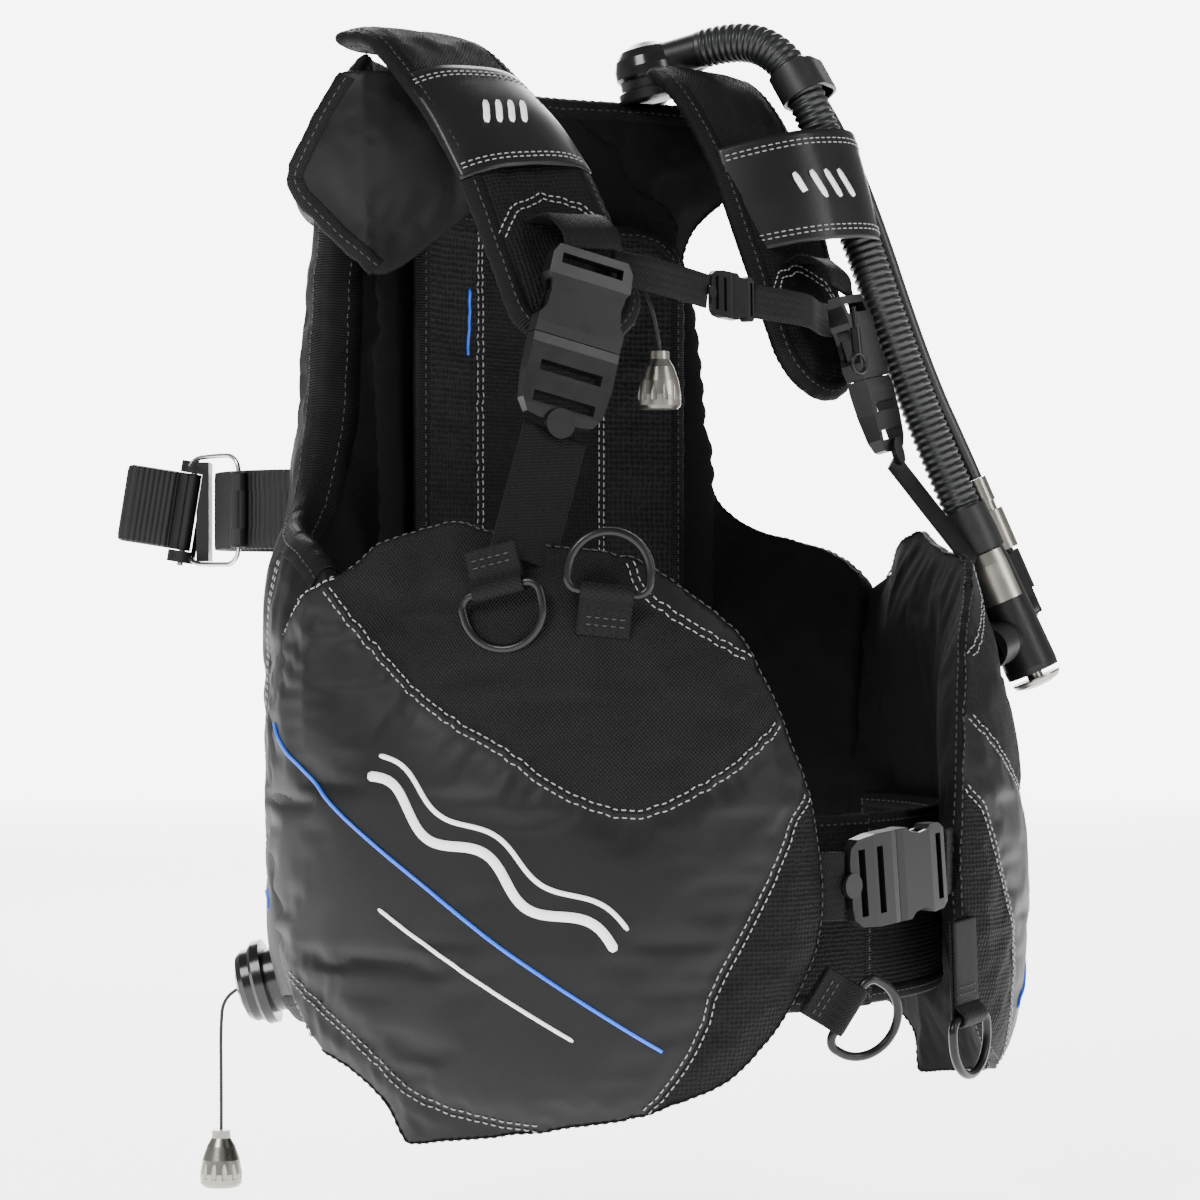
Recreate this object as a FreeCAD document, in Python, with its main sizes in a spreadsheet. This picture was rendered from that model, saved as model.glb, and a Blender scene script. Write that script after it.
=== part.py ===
"""Buoyancy compensator vest: jacket with lobes, harness, tank band, inflator and dump valves.

Millimetres. The origin is the middle of the tank band on the tank's axis; +Z is up along the
tank, -Y is the wearer's front and +X is the wearer's left. Most places are given from the
torso's own centre, which the spreadsheet puts in front of and below the origin.
"""
import FreeCAD
import Part

import math
import os

from FreeCAD import Placement, Rotation, Vector

doc = FreeCAD.newDocument("vest")
sizes = doc.addObject("Spreadsheet::Sheet", "Sizes")

# ---------------------------------------------------------------- driving dimensions
DIMENSIONS = [
    ("torso_forward", -255), ("torso_drop", -57),
    ("half_width", 245), ("front_depth", 213), ("back_depth", 190), ("back_flat", 150),
    ("lobe_wall", 34), ("bladder_side_wall", 36), ("bladder_back_wall", 78),
    ("split_back", 20),
    ("pad_width", 84), ("pad_thick", 14), ("sleeve_thick", 2),
    ("strap_web", 38), ("sternum_web", 20), ("web_thick", 2.4),
    ("buckle_width", 52), ("buckle_thick", 13), ("buckle_socket", 52), ("buckle_prong", 46),
    ("buckle_wall", 2.5), ("buckle_bar", 6),
    ("ring_width", 40), ("ring_drop", 33), ("ring_wire", 5),
    ("tank_radius", 92), ("band_width", 50), ("band_thick", 2.5),
    ("plate_width", 170), ("plate_height", 360), ("plate_thick", 5.5), ("plate_slot", 59),
    ("barrel_radius", 9), ("barrel_reach", 112), ("pin_radius", 2), ("bail_wire", 3),
    ("lever_reach", 38), ("lever_thick", 7),
    ("hose_outer", 25), ("feed_outer", 9.5), ("cord_outer", 2),
    ("knob_length", 33), ("valve_radius", 25), ("coupling_radius", 8.5),
]
for row, (alias, value) in enumerate(DIMENSIONS, start=1):
    sizes.set(f"A{row}", str(value))
    sizes.setAlias(f"A{row}", alias)
doc.recompute()


def size(alias):
    """The sheet's value for one alias, as a plain number."""
    return float(getattr(sizes, alias))


RIGHT, LEFT = -1, 1
UP = Vector(0, 0, 1)
NODES = {}


def node(name, thing):
    """Names a finished sub-part."""
    thing.Label = name
    NODES[name] = thing
    return thing


def torso(x, y, z):
    """A point given from the torso's centre."""
    return Vector(x, y + size("torso_forward"), z + size("torso_drop"))


def axes(x_dir, z_dir):
    """The rotation whose z axis is z_dir and whose x axis is as near x_dir as it can be."""
    z_dir = Vector(z_dir).normalize()
    y_dir = z_dir.cross(Vector(x_dir)).normalize()
    return Rotation(y_dir.cross(z_dir), y_dir, z_dir, "ZXY")


# ---------------------------------------------------------------- small builders
def make(kind, place=None, **values):
    """A document object; text values become expressions on the sheet, others are set as they are."""
    thing = doc.addObject(kind, kind.split("::")[1])
    for key, value in values.items():
        if isinstance(value, str) and key not in ("DirMode", "Transition"):
            thing.setExpression(key, value)
        else:
            setattr(thing, key, value)
    if place is not None:
        thing.Placement = place
    return thing


def block(place, width, depth, height):
    """A box centred on its place in x and y, rising from it in z. Sizes are sheet expressions."""
    thing = make("Part::Box", Length=width, Width=depth, Height=height)
    doc.recompute()
    corner = Vector(-thing.Length.Value / 2, -thing.Width.Value / 2, 0)
    thing.Placement = place.multiply(Placement(corner, Rotation()))
    return thing


def rod(place, radius, height):
    """A round bar that rises from its place along z."""
    return make("Part::Cylinder", place, Radius=radius, Height=height)


def fuse(*things):
    """One piece out of several."""
    return make("Part::MultiFuse", Shapes=list(things))


def common(*things):
    """What several pieces share."""
    return make("Part::MultiCommon", Shapes=list(things))


def cut(base, *tools):
    """The base with every tool taken out of it."""
    tool = tools[0] if len(tools) == 1 else fuse(*tools)
    return make("Part::Cut", Base=base, Tool=tool)


def step(place, x=0.0, y=0.0, z=0.0, rotation=None):
    """A place moved, and perhaps turned, in its own axes."""
    return place.multiply(Placement(Vector(x, y, z), rotation or Rotation()))


def prism(place, points, height, smooth=False):
    """A flat outline in the place's x and y, extruded along its z."""
    sketch = doc.addObject("Sketcher::SketchObject", "Outline")
    corners = [Vector(x, y, 0) for x, y in points]
    if smooth:
        curve = Part.BSplineCurve()
        curve.interpolate(Points=corners, PeriodicFlag=True)
        sketch.addGeometry(curve, False)
    else:
        for start, end in zip(corners, corners[1:] + corners[:1]):
            sketch.addGeometry(Part.LineSegment(start, end), False)
    sketch.Placement = place
    return make("Part::Extrusion", Base=sketch, DirMode="Normal", LengthFwd=height, Solid=True)


def turned(profile, place, name):
    """A PartDesign body: a closed profile of (radius, height) points turned about the body's z."""
    body = doc.addObject("PartDesign::Body", name)
    plane = next(f for f in body.Origin.OriginFeatures if f.Role == "XZ_Plane")
    sketch = body.newObject("Sketcher::SketchObject", name + "_profile")
    sketch.AttachmentSupport = (plane, [""])
    sketch.MapMode = "FlatFace"
    corners = [Vector(r, z, 0) for r, z in profile]
    for start, end in zip(corners, corners[1:] + corners[:1]):
        sketch.addGeometry(Part.LineSegment(start, end), False)
    spin = body.newObject("PartDesign::Revolution", name + "_turn")
    spin.Profile = sketch
    spin.ReferenceAxis = (sketch, ["V_Axis"])
    spin.Angle = 360
    body.Placement = place
    return body


def ribbon(stations, width, thick):
    """A strap through stations of (point, width direction, share of the width[, direction])."""
    planes = []
    points = [station[0] for station in stations]
    for i, (point, across, share, *given) in enumerate(stations):
        along = given[0] if given else points[min(i + 1, len(points) - 1)] - points[max(i - 1, 0)]
        plane = make("Part::Plane", Length=f"{width} * {share}", Width=thick)
        doc.recompute()
        turn = axes(across, along)
        half = Vector(-plane.Length.Value / 2, -plane.Width.Value / 2, 0)
        plane.Placement = Placement(point, turn).multiply(Placement(half, Rotation()))
        planes.append(plane)
    return make("Part::Loft", Sections=planes, Solid=True, Ruled=False)


def arc_path(points):
    """Straight runs joined by tangent arcs, each as large as its two runs allow."""
    edges, here, report = [], points[0], []
    for i in range(1, len(points) - 1):
        before, corner, after = points[i - 1], points[i], points[i + 1]
        run_in, run_out = corner - before, after - corner
        turn = run_in.getAngle(run_out)
        half = math.tan(turn / 2)
        radius = 0.45 * min(run_in.Length, run_out.Length) / half
        back = radius * half
        start = corner - Vector(run_in).normalize() * back
        end = corner + Vector(run_out).normalize() * back
        inward = (Vector(run_out).normalize() - Vector(run_in).normalize()).normalize()
        centre = corner + inward * (radius / math.cos(turn / 2))
        middle = centre - inward * radius
        edges.append(Part.LineSegment(here, start).toShape())
        edges.append(Part.Arc(start, middle, end).toShape())
        here = end
        report.append(radius)
    edges.append(Part.LineSegment(here, points[-1]).toShape())
    return Part.Wire(edges), report


def tube(name, points, radius):
    """A round bar or cord along a route of points; prints its length and bend radii."""
    wire, radii = arc_path(points)
    path = doc.addObject("Part::Feature", name + "_path")
    path.Shape = wire
    ring = make("Part::Circle", Radius=radius)
    ring.Placement = Placement(points[0], axes(Vector(0.31, 0.83, 0.46), points[1] - points[0]))
    sweep = make("Part::Sweep", Sections=[ring], Solid=True, Frenet=False)
    sweep.Spine = (path, [f"Edge{n + 1}" for n in range(len(wire.Edges))])
    doc.recompute()
    section = math.pi * ring.Radius.Value ** 2
    print(f"{name}: length {wire.Length:.0f}, radii {min(radii):.0f} to {max(radii):.0f}, "
          f"volume over section x length {sweep.Shape.Volume / section / wire.Length:.3f}")
    return sweep


# ---------------------------------------------------------------- the jacket's shell
def shell(sections, depth, side_wall, end_wall):
    """An elliptical tube through (height, share, wall share) levels, widest at share 1."""
    outer, inner = [], []
    for z, share, wall in sections:
        place = Placement(torso(0, 0, z), Rotation())
        outer.append(make("Part::Ellipse", place, MajorRadius=f"Sizes.half_width * {share}",
                          MinorRadius=f"Sizes.{depth} * {share}"))
        inner.append(make("Part::Ellipse", place,
                          MajorRadius=f"Sizes.half_width * {share} - Sizes.{side_wall} * {wall}",
                          MinorRadius=f"Sizes.{depth} * {share} - Sizes.{end_wall} * {wall}"))
    solid = make("Part::Loft", Sections=outer, Solid=True, Ruled=False)
    hollow = make("Part::Loft", Sections=inner, Solid=True, Ruled=False)
    return cut(solid, hollow)


LOBE_LEVELS = [(-306, 0.92, 0.45), (-270, 0.98, 0.9), (-190, 1.0, 1.0), (-110, 0.99, 1.0),
               (-50, 0.95, 0.9), (0, 0.905, 0.65), (50, 0.87, 0.4)]


def lobe_share(z):
    """How far the lobe's skin stands out at a height, as a share of its widest."""
    for (z0, s0, _), (z1, s1, _) in zip(LOBE_LEVELS, LOBE_LEVELS[1:]):
        if z <= z1:
            return s0 + (s1 - s0) * (z - z0) / (z1 - z0)
    return LOBE_LEVELS[-1][1]


def on_lobe(side, turn, z, out=0.0):
    """A point on a lobe's skin, turned from the front in degrees, with the outward direction."""
    angle, share = math.radians(turn), lobe_share(z)
    wide, deep = size("half_width") * share, size("front_depth") * share
    normal = Vector(side * math.sin(angle) / wide, -math.cos(angle) / deep, 0).normalize()
    point = torso(side * wide * math.sin(angle), -deep * math.cos(angle), z)
    return point + normal * out, normal


# the lobe's outline across the diagonal that it faces, and its height
LOBE_OUTLINE = [(-176, 20), (-146, 36), (-112, 43), (-62, 31), (-14, 25), (30, -2), (58, -38),
                (78, -84), (92, -140), (96, -176), (86, -214), (62, -250), (20, -277),
                (-40, -292), (-100, -300), (-142, -297), (-166, -262), (-215, -238),
                (-250, -150), (-250, -40), (-225, 0)]


# the inflator's place: z up its body toward the hose, x out of the mouthpiece
INFLATOR = Placement(torso(218, -105, -8), axes(Vector(-1, 0, 0), Vector(-0.283, 0.283, 0.917)))


def across_diagonal(side):
    """The place whose x runs across the diagonal that a side faces, and whose y is up."""
    return Placement(torso(0, 0, 0), Rotation(Vector(-side, -1, 0).normalize(), UP, Vector(), "XYZ"))


def lobe(side):
    """A lobe: the tapered shell, cut to its outline across the diagonal that it faces."""
    outline = prism(across_diagonal(side), LOBE_OUTLINE, "320", smooth=True)
    outline.Reversed = side == LEFT
    front = block(Placement(torso(0, size("split_back") - 300, -320), Rotation()), "700", "600", "400")
    skin = shell(LOBE_LEVELS, "front_depth", "lobe_wall", "lobe_wall")
    if side == RIGHT:
        return node("right_lobe", common(skin, outline, front))
    mouth = rod(step(INFLATOR, x=8, z=-14, rotation=Rotation(Vector(0, 1, 0), 90)), "19", "36")
    beside = rod(step(INFLATOR, z=-46), "19", "140")
    return node("left_lobe", cut(common(skin, outline, front), mouth, beside))


# the elbow's seat on the left shoulder: z up, x toward the hose
ELBOW = Placement(torso(108, 94, 320), axes(Vector(0.33, -0.92, 0), Vector(-0.15, 0.15, 0.977)))
# each dump valve's seat: z points out of the jacket
LOWER_VALVE = Placement(torso(-182, 127.5, -224), axes(UP, Vector(-0.62, 0.72, -0.25)))
SHOULDER_VALVE = Placement(torso(-112, 150.6, 248), axes(UP, Vector(0, 1, 0)))

BLADDER_LEVELS = [(-290, 0.93, 0.5), (-250, 0.99, 1.0), (-120, 1.0, 1.0), (80, 1.0, 1.0),
                  (190, 0.98, 0.9), (240, 0.94, 0.8), (290, 0.86, 0.7), (323, 0.78, 0.6)]
# the bladder from the side: depth from the torso's centre, and height
BLADDER_SIDE = [(20.6, -300), (20.6, 200), (70, 240), (62, 290), (58, 330), (160, 330), (160, -300)]
# what stands behind and below the armhole, across the diagonal that each side faces, and its height
BEHIND_ARMHOLE = [(-400, -320), (300, -320), (300, 24), (175, 28), (128, 34), (86, 44), (55, 61),
                  (37, 95), (30, 121), (25, 170), (24, 212), (34, 240), (68, 264), (72, 290),
                  (66, 340), (-400, 340)]


def back_bladder():
    """The air cell: round the back and both flanks, up to the shoulders, with the valves' seats."""
    cell = shell(BLADDER_LEVELS, "back_depth", "bladder_side_wall", "bladder_back_wall")
    side = Placement(torso(-300, 0, 0), Rotation(Vector(0, 1, 0), UP, Vector(), "XYZ"))
    outline = prism(side, BLADDER_SIDE, "600")
    flanks = [prism(step(across_diagonal(facing), z=-450), BEHIND_ARMHOLE, "900")
              for facing in (RIGHT, LEFT)]
    flat = block(Placement(torso(0, size("back_flat") + 100, -310), Rotation()), "600", "200", "700")
    recess = block(Placement(torso(0, size("back_flat"), 57 - 28), Rotation()), "136", "8", "56")
    seats = [rod(step(ELBOW, z=-0.3), "22.4", "40")]
    for place in (LOWER_VALVE, SHOULDER_VALVE):
        seats += [rod(step(place, z=-16), "Sizes.valve_radius - 5", "60"),
                  rod(step(place, z=0.3), "Sizes.valve_radius + 0.4", "40")]
    return node("back_bladder", cut(common(cell, outline, *flanks), flat, recess, *seats))


# ---------------------------------------------------------------- pads inside the jacket
def back_pad():
    """The padded panel against the wearer's back, curved like the bladder's inner wall."""
    place = Placement(torso(0, 0, -205), Rotation())
    walls = [make("Part::Ellipse", place, MajorRadius=f"Sizes.half_width - {49 + inset}",
                  MinorRadius=f"Sizes.back_depth - {91 + inset}") for inset in (0, 9)]
    outer, inner = [make("Part::Extrusion", Base=wall, DirMode="Normal", LengthFwd="440", Solid=True)
                    for wall in walls]
    middle = block(Placement(torso(0, 100, -210), Rotation()), "Sizes.plate_width + 60", "120", "460")
    return node("back_pad", common(cut(outer, inner), middle))


def collar():
    """The padded wings that hang inside the shoulders, one each side."""
    wings = []
    for side in (RIGHT, LEFT):
        across = Vector(side, 1, 0)
        path = [(torso(side * 120, 46, 276), across, 0.6), (torso(side * 124, 50, 258), across, 0.78),
                (torso(side * 137, 71, 225), across, 0.9), (torso(side * 134, 76, 186), across, 0.34)]
        wings.append(ribbon(path, "Sizes.pad_width", "8"))
    return node("collar_wings", fuse(*wings))


def cummerbund(side):
    """Half of the inner waistband, an elliptical strip that laps the other at the front."""
    shrink = 41 if side == RIGHT else 47
    place = Placement(torso(0, 0, -232), Rotation())
    rings = []
    for inset in (shrink, shrink + 4):
        oval = make("Part::Ellipse", place, MajorRadius=f"Sizes.half_width - {inset}",
                    MinorRadius=f"Sizes.front_depth - {inset}")
        rings.append(make("Part::Extrusion", Base=oval, DirMode="Normal", LengthFwd="112", Solid=True))
    half = block(Placement(torso(side * 130, -110, -240), Rotation()), "290", "220", "130")
    return node("right_cummerbund" if side == RIGHT else "left_cummerbund",
                common(cut(*rings), half))


# ---------------------------------------------------------------- shoulder harness
PAD_ROUTE = {
    RIGHT: [(-118, 98, 330.8, 0, 1.0), (-118, 62, 325, 3, 1.08), (-118, 31, 301, 6, 1.1),
            (-118, 4, 275, 10, 1.08), (-118, -22, 242, 14, 1.05), (-119, -49, 195, 19, 1.02),
            (-120, -66, 162, 21, 0.9), (-120, -76, 140, 21, 0.5)],
    LEFT: [(114, 66, 330.8, 0, 1.0), (113, 44, 318, 3, 1.08), (112, 22, 292, 6, 1.1),
           (112, 5, 262, 10, 1.08), (111, -11, 225, 14, 1.05), (109, -30, 180, 19, 1.0),
           (108, -44, 145, 21, 0.9), (108, -51, 122, 21, 0.5)],
}


def across_strap(side, yaw):
    """The strap's width direction: its inner edge stands further forward by the yaw."""
    angle = math.radians(yaw)
    return Vector(math.cos(angle), side * math.sin(angle), 0)


def shoulder_pad(side):
    stations = [(torso(x, y, z), across_strap(side, yaw), share)
                for x, y, z, yaw, share in PAD_ROUTE[side]]
    return node(("right" if side == RIGHT else "left") + "_shoulder_pad",
                ribbon(stations, "Sizes.pad_width", "Sizes.pad_thick"))


def pad_surface(side, station, out):
    """The middle of a pad's outer face near a station of its route."""
    route = PAD_ROUTE[side]
    x, y, z, yaw, _ = route[station]
    after, before = route[station + 1], route[station - 1]
    along = Vector(after[0] - before[0], after[1] - before[1], after[2] - before[2])
    outward = across_strap(side, yaw).cross(along).normalize()
    if outward.y > 0:
        outward = outward * -1
    return torso(x, y, z) + outward * out, across_strap(side, yaw), along.normalize(), outward


def sleeves():
    """The smooth sleeve over each strap; the left one also crosses both hoses."""
    right = []
    for station in (2, 3, 4):
        point, across, along, _ = pad_surface(RIGHT, station, 10.5)
        right.append((point, across, 1.06, along))
    across = Vector(1, -0.16, 0)
    left = [(torso(119, -29, 290), across, 1.26), (torso(121, -39, 256), across, 1.26),
            (torso(123, -47, 222), across, 1.26)]
    node("strap_sleeves", fuse(*[ribbon(stations, "Sizes.pad_width", "Sizes.sleeve_thick")
                                 for stations in (right, left)]))


# ---------------------------------------------------------------- side-release buckles
# half outlines of a side-release buckle: distance from its middle, and along it from the joint
SOCKET_OUTLINE = [(26, 0), (26, 10), (22.5, 15), (21.5, 24), (22.5, 31), (25, 35), (24.5, 46), (21, 52)]
PRONG_OUTLINE = [(26, -0.5), (26, -22), (24.5, -38), (20, -45), (13, -46.5)]
# half outlines of its thickness: distance from its middle, and along it
SOCKET_SIDE = [(5.4, 0), (6.5, 6), (6.5, 34), (4.6, 48), (3.8, 52)]
PRONG_SIDE = [(5.4, -0.5), (6.2, -6), (5.6, -24), (4.2, -40), (3.2, -46.5)]


def plate_form(place, outline, side_outline, wide, scale):
    """A plate with mirrored outlines: one from the front, one for its thickness."""
    front = [(x * wide, z * scale) for x, z in outline]
    side = [(y * scale, z * scale) for y, z in side_outline]
    faces = []
    for half, turn in ((front, Rotation(Vector(1, 0, 0), 90)),
                       (side, Rotation(Vector(0, 1, 0), UP, Vector(1, 0, 0), "XYZ"))):
        loop = half + [(-x, z) for x, z in reversed(half)]
        faces.append(prism(step(step(place, rotation=turn), z=-40), loop, "80"))
    return common(*faces)


def buckle(name, place, web, scale=1.0):
    """Socket and prong on one place: x across, y outward, z from the prong to the socket."""
    wide = f"(Sizes.buckle_width * {web} / 38)"
    thick = f"(Sizes.buckle_thick * {scale})"
    deep = f"(Sizes.buckle_socket * {scale})"
    wall, bar = f"(Sizes.buckle_wall * {scale})", f"(Sizes.buckle_bar * {scale})"
    share = web / 38
    half = size("buckle_width") * share / 2
    d, t = size("buckle_socket") * scale, size("buckle_prong") * scale
    body = plate_form(place, SOCKET_OUTLINE, SOCKET_SIDE, share, scale)
    cavity = block(step(place, z=-1), f"{wide} - 2 * {wall}", f"{thick} - 2 * {wall}", f"{deep} * 0.62")
    web_slot = block(step(place, z=d - 11 * scale), f"{wide} * 0.72", f"{thick} + 2", bar)
    windows = [block(step(place, x=s * half, z=d * 0.24), f"14 * {scale}",
                     f"{thick} - 2 * {wall}", f"{deep} * 0.36") for s in (-1, 1)]
    node(name + "_socket", cut(body, cavity, web_slot, *windows))
    base = plate_form(place, PRONG_OUTLINE, PRONG_SIDE, share, scale)
    slots = [block(step(place, z=-t * along), f"{wide} * 0.72", f"{thick} + 2", bar)
             for along in (0.84, 0.46)]
    arms = [block(step(place, x=s * (half - 8 * scale), z=-3), f"5.5 * {scale}",
                  f"{thick} - 2 * {wall} - 1.6 * {scale}", f"{deep} * 0.55") for s in (-1, 1)]
    tongue = block(step(place, z=-3), f"{wide} * 0.2", f"{thick} - 2 * {wall} - 2 * {scale}",
                   f"{deep} * 0.5")
    tab = rod(step(place, y=3.4 * scale, z=-t - 1.5 * scale, rotation=Rotation(Vector(1, 0, 0), -90)),
              f"8.5 * {scale}", f"3 * {scale}")
    node(name + "_prong", fuse(cut(base, *slots), *arms, tongue, tab))


def place_on(point, across, along):
    """A place whose x runs across and whose z runs along, so that y points outward."""
    return Placement(point, axes(across, along))


SHOULDER_BUCKLE = {RIGHT: ((-140, -84, 143), (0.27, -0.02, 1.0)),
                   LEFT: ((124, -72, 135), (-0.22, 0.2, 1.0))}
WEB_FOOT = {RIGHT: (-193, -97, 22), LEFT: (176, -112, 22)}


def shoulder_hardware(side):
    """One shoulder's buckle and lower webbing; returns the sewn loop that holds the socket."""
    name = "right" if side == RIGHT else "left"
    spot, along = SHOULDER_BUCKLE[side]
    across = across_strap(side, 22) * -1
    place = place_on(torso(*spot), across, Vector(*along))
    buckle(f"{name}_buckle", place, 38)
    start = step(place, z=-size("buckle_prong") - 6).Base
    foot = torso(*WEB_FOOT[side])
    middle = (start + foot) * 0.5
    lower = start * 0.2 + foot * 0.8
    web = ribbon([(start, across, 1), (middle, across, 1), (lower, across, 1), (foot, across, 1)],
                 "Sizes.strap_web", "Sizes.web_thick")
    node(f"{name}_shoulder_webbing", web)
    head = step(place, z=size("buckle_socket") + 3).Base
    behind, _, _, outward = pad_surface(side, 4, 8.6)
    loop = ribbon([(head, across, 0.9), (head * 0.5 + behind * 0.5 + outward * 4, across, 0.9),
                   (behind, across, 0.9)], "Sizes.strap_web", "Sizes.web_thick")
    return loop


def sternum_strap():
    """The chest strap: a small buckle and the webbing on each side of it."""
    middle = torso(-18, -89, 176)
    along = Vector(1, 0.12, -0.06)
    place = place_on(middle, Vector(0, 0.06, 1), along)
    buckle("sternum_buckle", place, 20, 0.42)
    socket_end = step(place, z=size("buckle_socket") * 0.42 + 1).Base
    prong_end = step(place, z=-size("buckle_prong") * 0.42 - 3).Base
    right = [(prong_end, UP, 1), (torso(-58, -92, 180), UP, 1), (torso(-84, -90, 184), UP, 1),
             (torso(-106, -78, 188), UP, 1)]
    left = [(socket_end, UP, 1), (torso(50, -86, 172), UP, 1), (torso(86, -66, 170), UP, 1),
            (torso(118, -47, 171), UP, 1)]
    node("sternum_webbing_right", ribbon(right, "Sizes.sternum_web", "Sizes.web_thick * 0.8"))
    node("sternum_webbing_left", ribbon(left, "Sizes.sternum_web", "Sizes.web_thick * 0.8"))


def waist_strap():
    """The waist strap: its buckle and the webbing that comes out of each lobe."""
    middle = torso(-5, -201.5, -154)
    place = place_on(middle, Vector(0.1, 0, 1), Vector(1, 0.0, 0.1))
    buckle("waist_buckle", place, 38, 0.82)
    socket_end = step(place, z=size("buckle_socket") * 0.82 + 3).Base
    prong_end = step(place, z=-size("buckle_prong") * 0.82 - 4).Base
    right = [(prong_end, UP, 1), (torso(-74, -184, -158), UP, 1), (torso(-112, -165, -160), UP, 1)]
    left = [(socket_end, UP, 1), (torso(72, -184, -150), UP, 1), (torso(112, -165, -152), UP, 1)]
    node("waist_webbing_right", ribbon(right, "Sizes.strap_web", "Sizes.web_thick"))
    node("waist_webbing_left", ribbon(left, "Sizes.strap_web", "Sizes.web_thick"))


# ---------------------------------------------------------------- D-rings
def d_ring(name, place):
    """A D-ring: its straight bar lies along x through the place, its bow drops along -z."""
    half, drop = size("ring_width") / 2 + size("ring_wire") / 2, size("ring_drop")
    corner, bow = 7.0, half
    base = drop - bow
    start = Vector(0, 0, 0)
    edges = []
    outline = [Vector(half - corner, 0, 0), Vector(half, 0, -corner)]
    bend = corner * (1 - math.sqrt(0.5))
    edges.append(Part.LineSegment(start, outline[0]).toShape())
    edges.append(Part.Arc(outline[0], Vector(half - bend, 0, -bend), outline[1]).toShape())
    edges.append(Part.LineSegment(outline[1], Vector(half, 0, -base)).toShape())
    edges.append(Part.Arc(Vector(half, 0, -base), Vector(0, 0, -drop), Vector(-half, 0, -base)).toShape())
    edges.append(Part.LineSegment(Vector(-half, 0, -base), Vector(-half, 0, -corner)).toShape())
    edges.append(Part.Arc(Vector(-half, 0, -corner), Vector(-half + bend, 0, -bend),
                          Vector(-half + corner, 0, 0)).toShape())
    edges.append(Part.LineSegment(Vector(-half + corner, 0, 0), start).toShape())
    path = doc.addObject("Part::Feature", name + "_path")
    path.Shape = Part.Wire(edges)
    ring = make("Part::Circle", Radius="Sizes.ring_wire / 2")
    ring.Placement = Placement(start, axes(Vector(0, 0, 1), Vector(1, 0, 0)))
    sweep = make("Part::Sweep", Sections=[ring], Solid=True, Frenet=False)
    sweep.Spine = (path, [f"Edge{n + 1}" for n in range(len(edges))])
    doc.recompute()
    sweep.Placement = place
    return node(name, sweep)


def ring_tab(place, length):
    """The webbing folded round a D-ring's bar: a flat tail behind it and a rounded fold."""
    wide = "Sizes.ring_width - 9"
    fold = rod(step(place, x=-(size("ring_width") - 9) / 2, rotation=Rotation(Vector(0, 1, 0), 90)),
               "Sizes.ring_wire / 2 + 2.6", wide)
    bore = rod(step(place, x=-size("ring_width") / 2, rotation=Rotation(Vector(0, 1, 0), 90)),
               "Sizes.ring_wire / 2 + 0.3", "Sizes.ring_width + 2")
    tail = block(step(place, y=2.7), wide, "4.6", str(length))
    return cut(fuse(fold, tail), bore)


def ring_place(side, turn, z, out, roll):
    """A place on the lobe's skin: x along the skin, y inward, z rolled from upright."""
    point, normal = on_lobe(side, turn, z, out)
    along = UP.cross(normal).normalize()
    base = Placement(point, Rotation(along, normal * -1, UP, "XYZ"))
    return base.multiply(Placement(Vector(), Rotation(Vector(0, 1, 0), roll)))


RING_PLACES = {
    "right_chest_ring": ring_place(RIGHT, 63, 6, 10.5, -14),
    "right_upper_ring": ring_place(RIGHT, 47, 4, 10.5, 186),
    "left_chest_ring": ring_place(LEFT, 80, 20, 11, 14),
    "right_lower_ring": Placement(torso(-47, -205, -226),
                                  axes(Vector(-0.5, 0, 0.8), Vector(-0.8, 0.2, 0.45))),
    "left_lower_ring": Placement(torso(56, -207, -238), axes(Vector(1, 0.25, 0), Vector(-0.05, 0, 1))),
}


def rings_and_tabs(loops):
    """D-rings, and the sewn webbing that holds them and the buckle sockets."""
    tabs = list(loops)
    for name, place in RING_PLACES.items():
        d_ring(name, place)
        tabs.append(ring_tab(place, {"left_lower_ring": 56, "left_chest_ring": 12}.get(name, 24)))
    tail = [(torso(213, -103, -48), Vector(1, 1, 0), 0.6), (torso(218, -106, -80), Vector(1, 1, 0), 0.6),
            (torso(222, -108, -112), Vector(1, 1, 0), 0.6)]
    tabs.append(ribbon(tail, "Sizes.strap_web", "Sizes.web_thick"))
    return node("webbing_tabs", fuse(*tabs))


# ---------------------------------------------------------------- backplate and tank band
def backplate():
    back = size("back_flat") + 0.4
    place = Placement(torso(0, back + size("plate_thick") / 2, -165), Rotation())
    plate = block(place, "Sizes.plate_width", "Sizes.plate_thick", "Sizes.plate_height")
    doc.recompute()
    upright = [(i + 1, 22.0, 22.0) for i, e in enumerate(plate.Shape.Edges)
               if abs(e.tangentAt(e.FirstParameter).y) > 0.99]
    plate = make("Part::Fillet", Base=plate, Edges=upright)
    ribs = [block(Placement(torso(s * 34, back + size("plate_thick") + 3.4, -150), Rotation()),
                  "12", "7.6", "300") for s in (-1, 1)]
    slots = [block(Placement(torso(s * size("plate_slot"), back, 57 - 27), Rotation()),
                   "8", "30", "54") for s in (-1, 1)]
    grips = [block(Placement(torso(s * 28, back, 168), Rotation()), "10", "30", "14")
             for s in (-1, 1)]
    vents = [block(Placement(torso(0, back, z), Rotation()), "26", "30", "40")
             for z in (-120, -60, 100)]
    return node("backplate", cut(fuse(plate, *ribs), *slots, *grips, *vents))


def carry_handle():
    """A webbing grip that bows out behind the plate's top edge."""
    back = size("back_flat") + size("plate_thick") + 2.4
    path = [(torso(x, back + bow, 184), UP, 0.5) for x, bow in
            ((-76, 0), (-60, 0.3), (-36, 3.2), (0, 3.6), (36, 3.2), (60, 0.3), (76, 0))]
    return node("carry_handle", ribbon(path, "Sizes.strap_web + 8", "2.4"))


# the way round the tank, from the wearer's left, of the cam buckle and of the bail's bar
BARREL_TURN, BAIL_TURN = 135.0, 178.0


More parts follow.
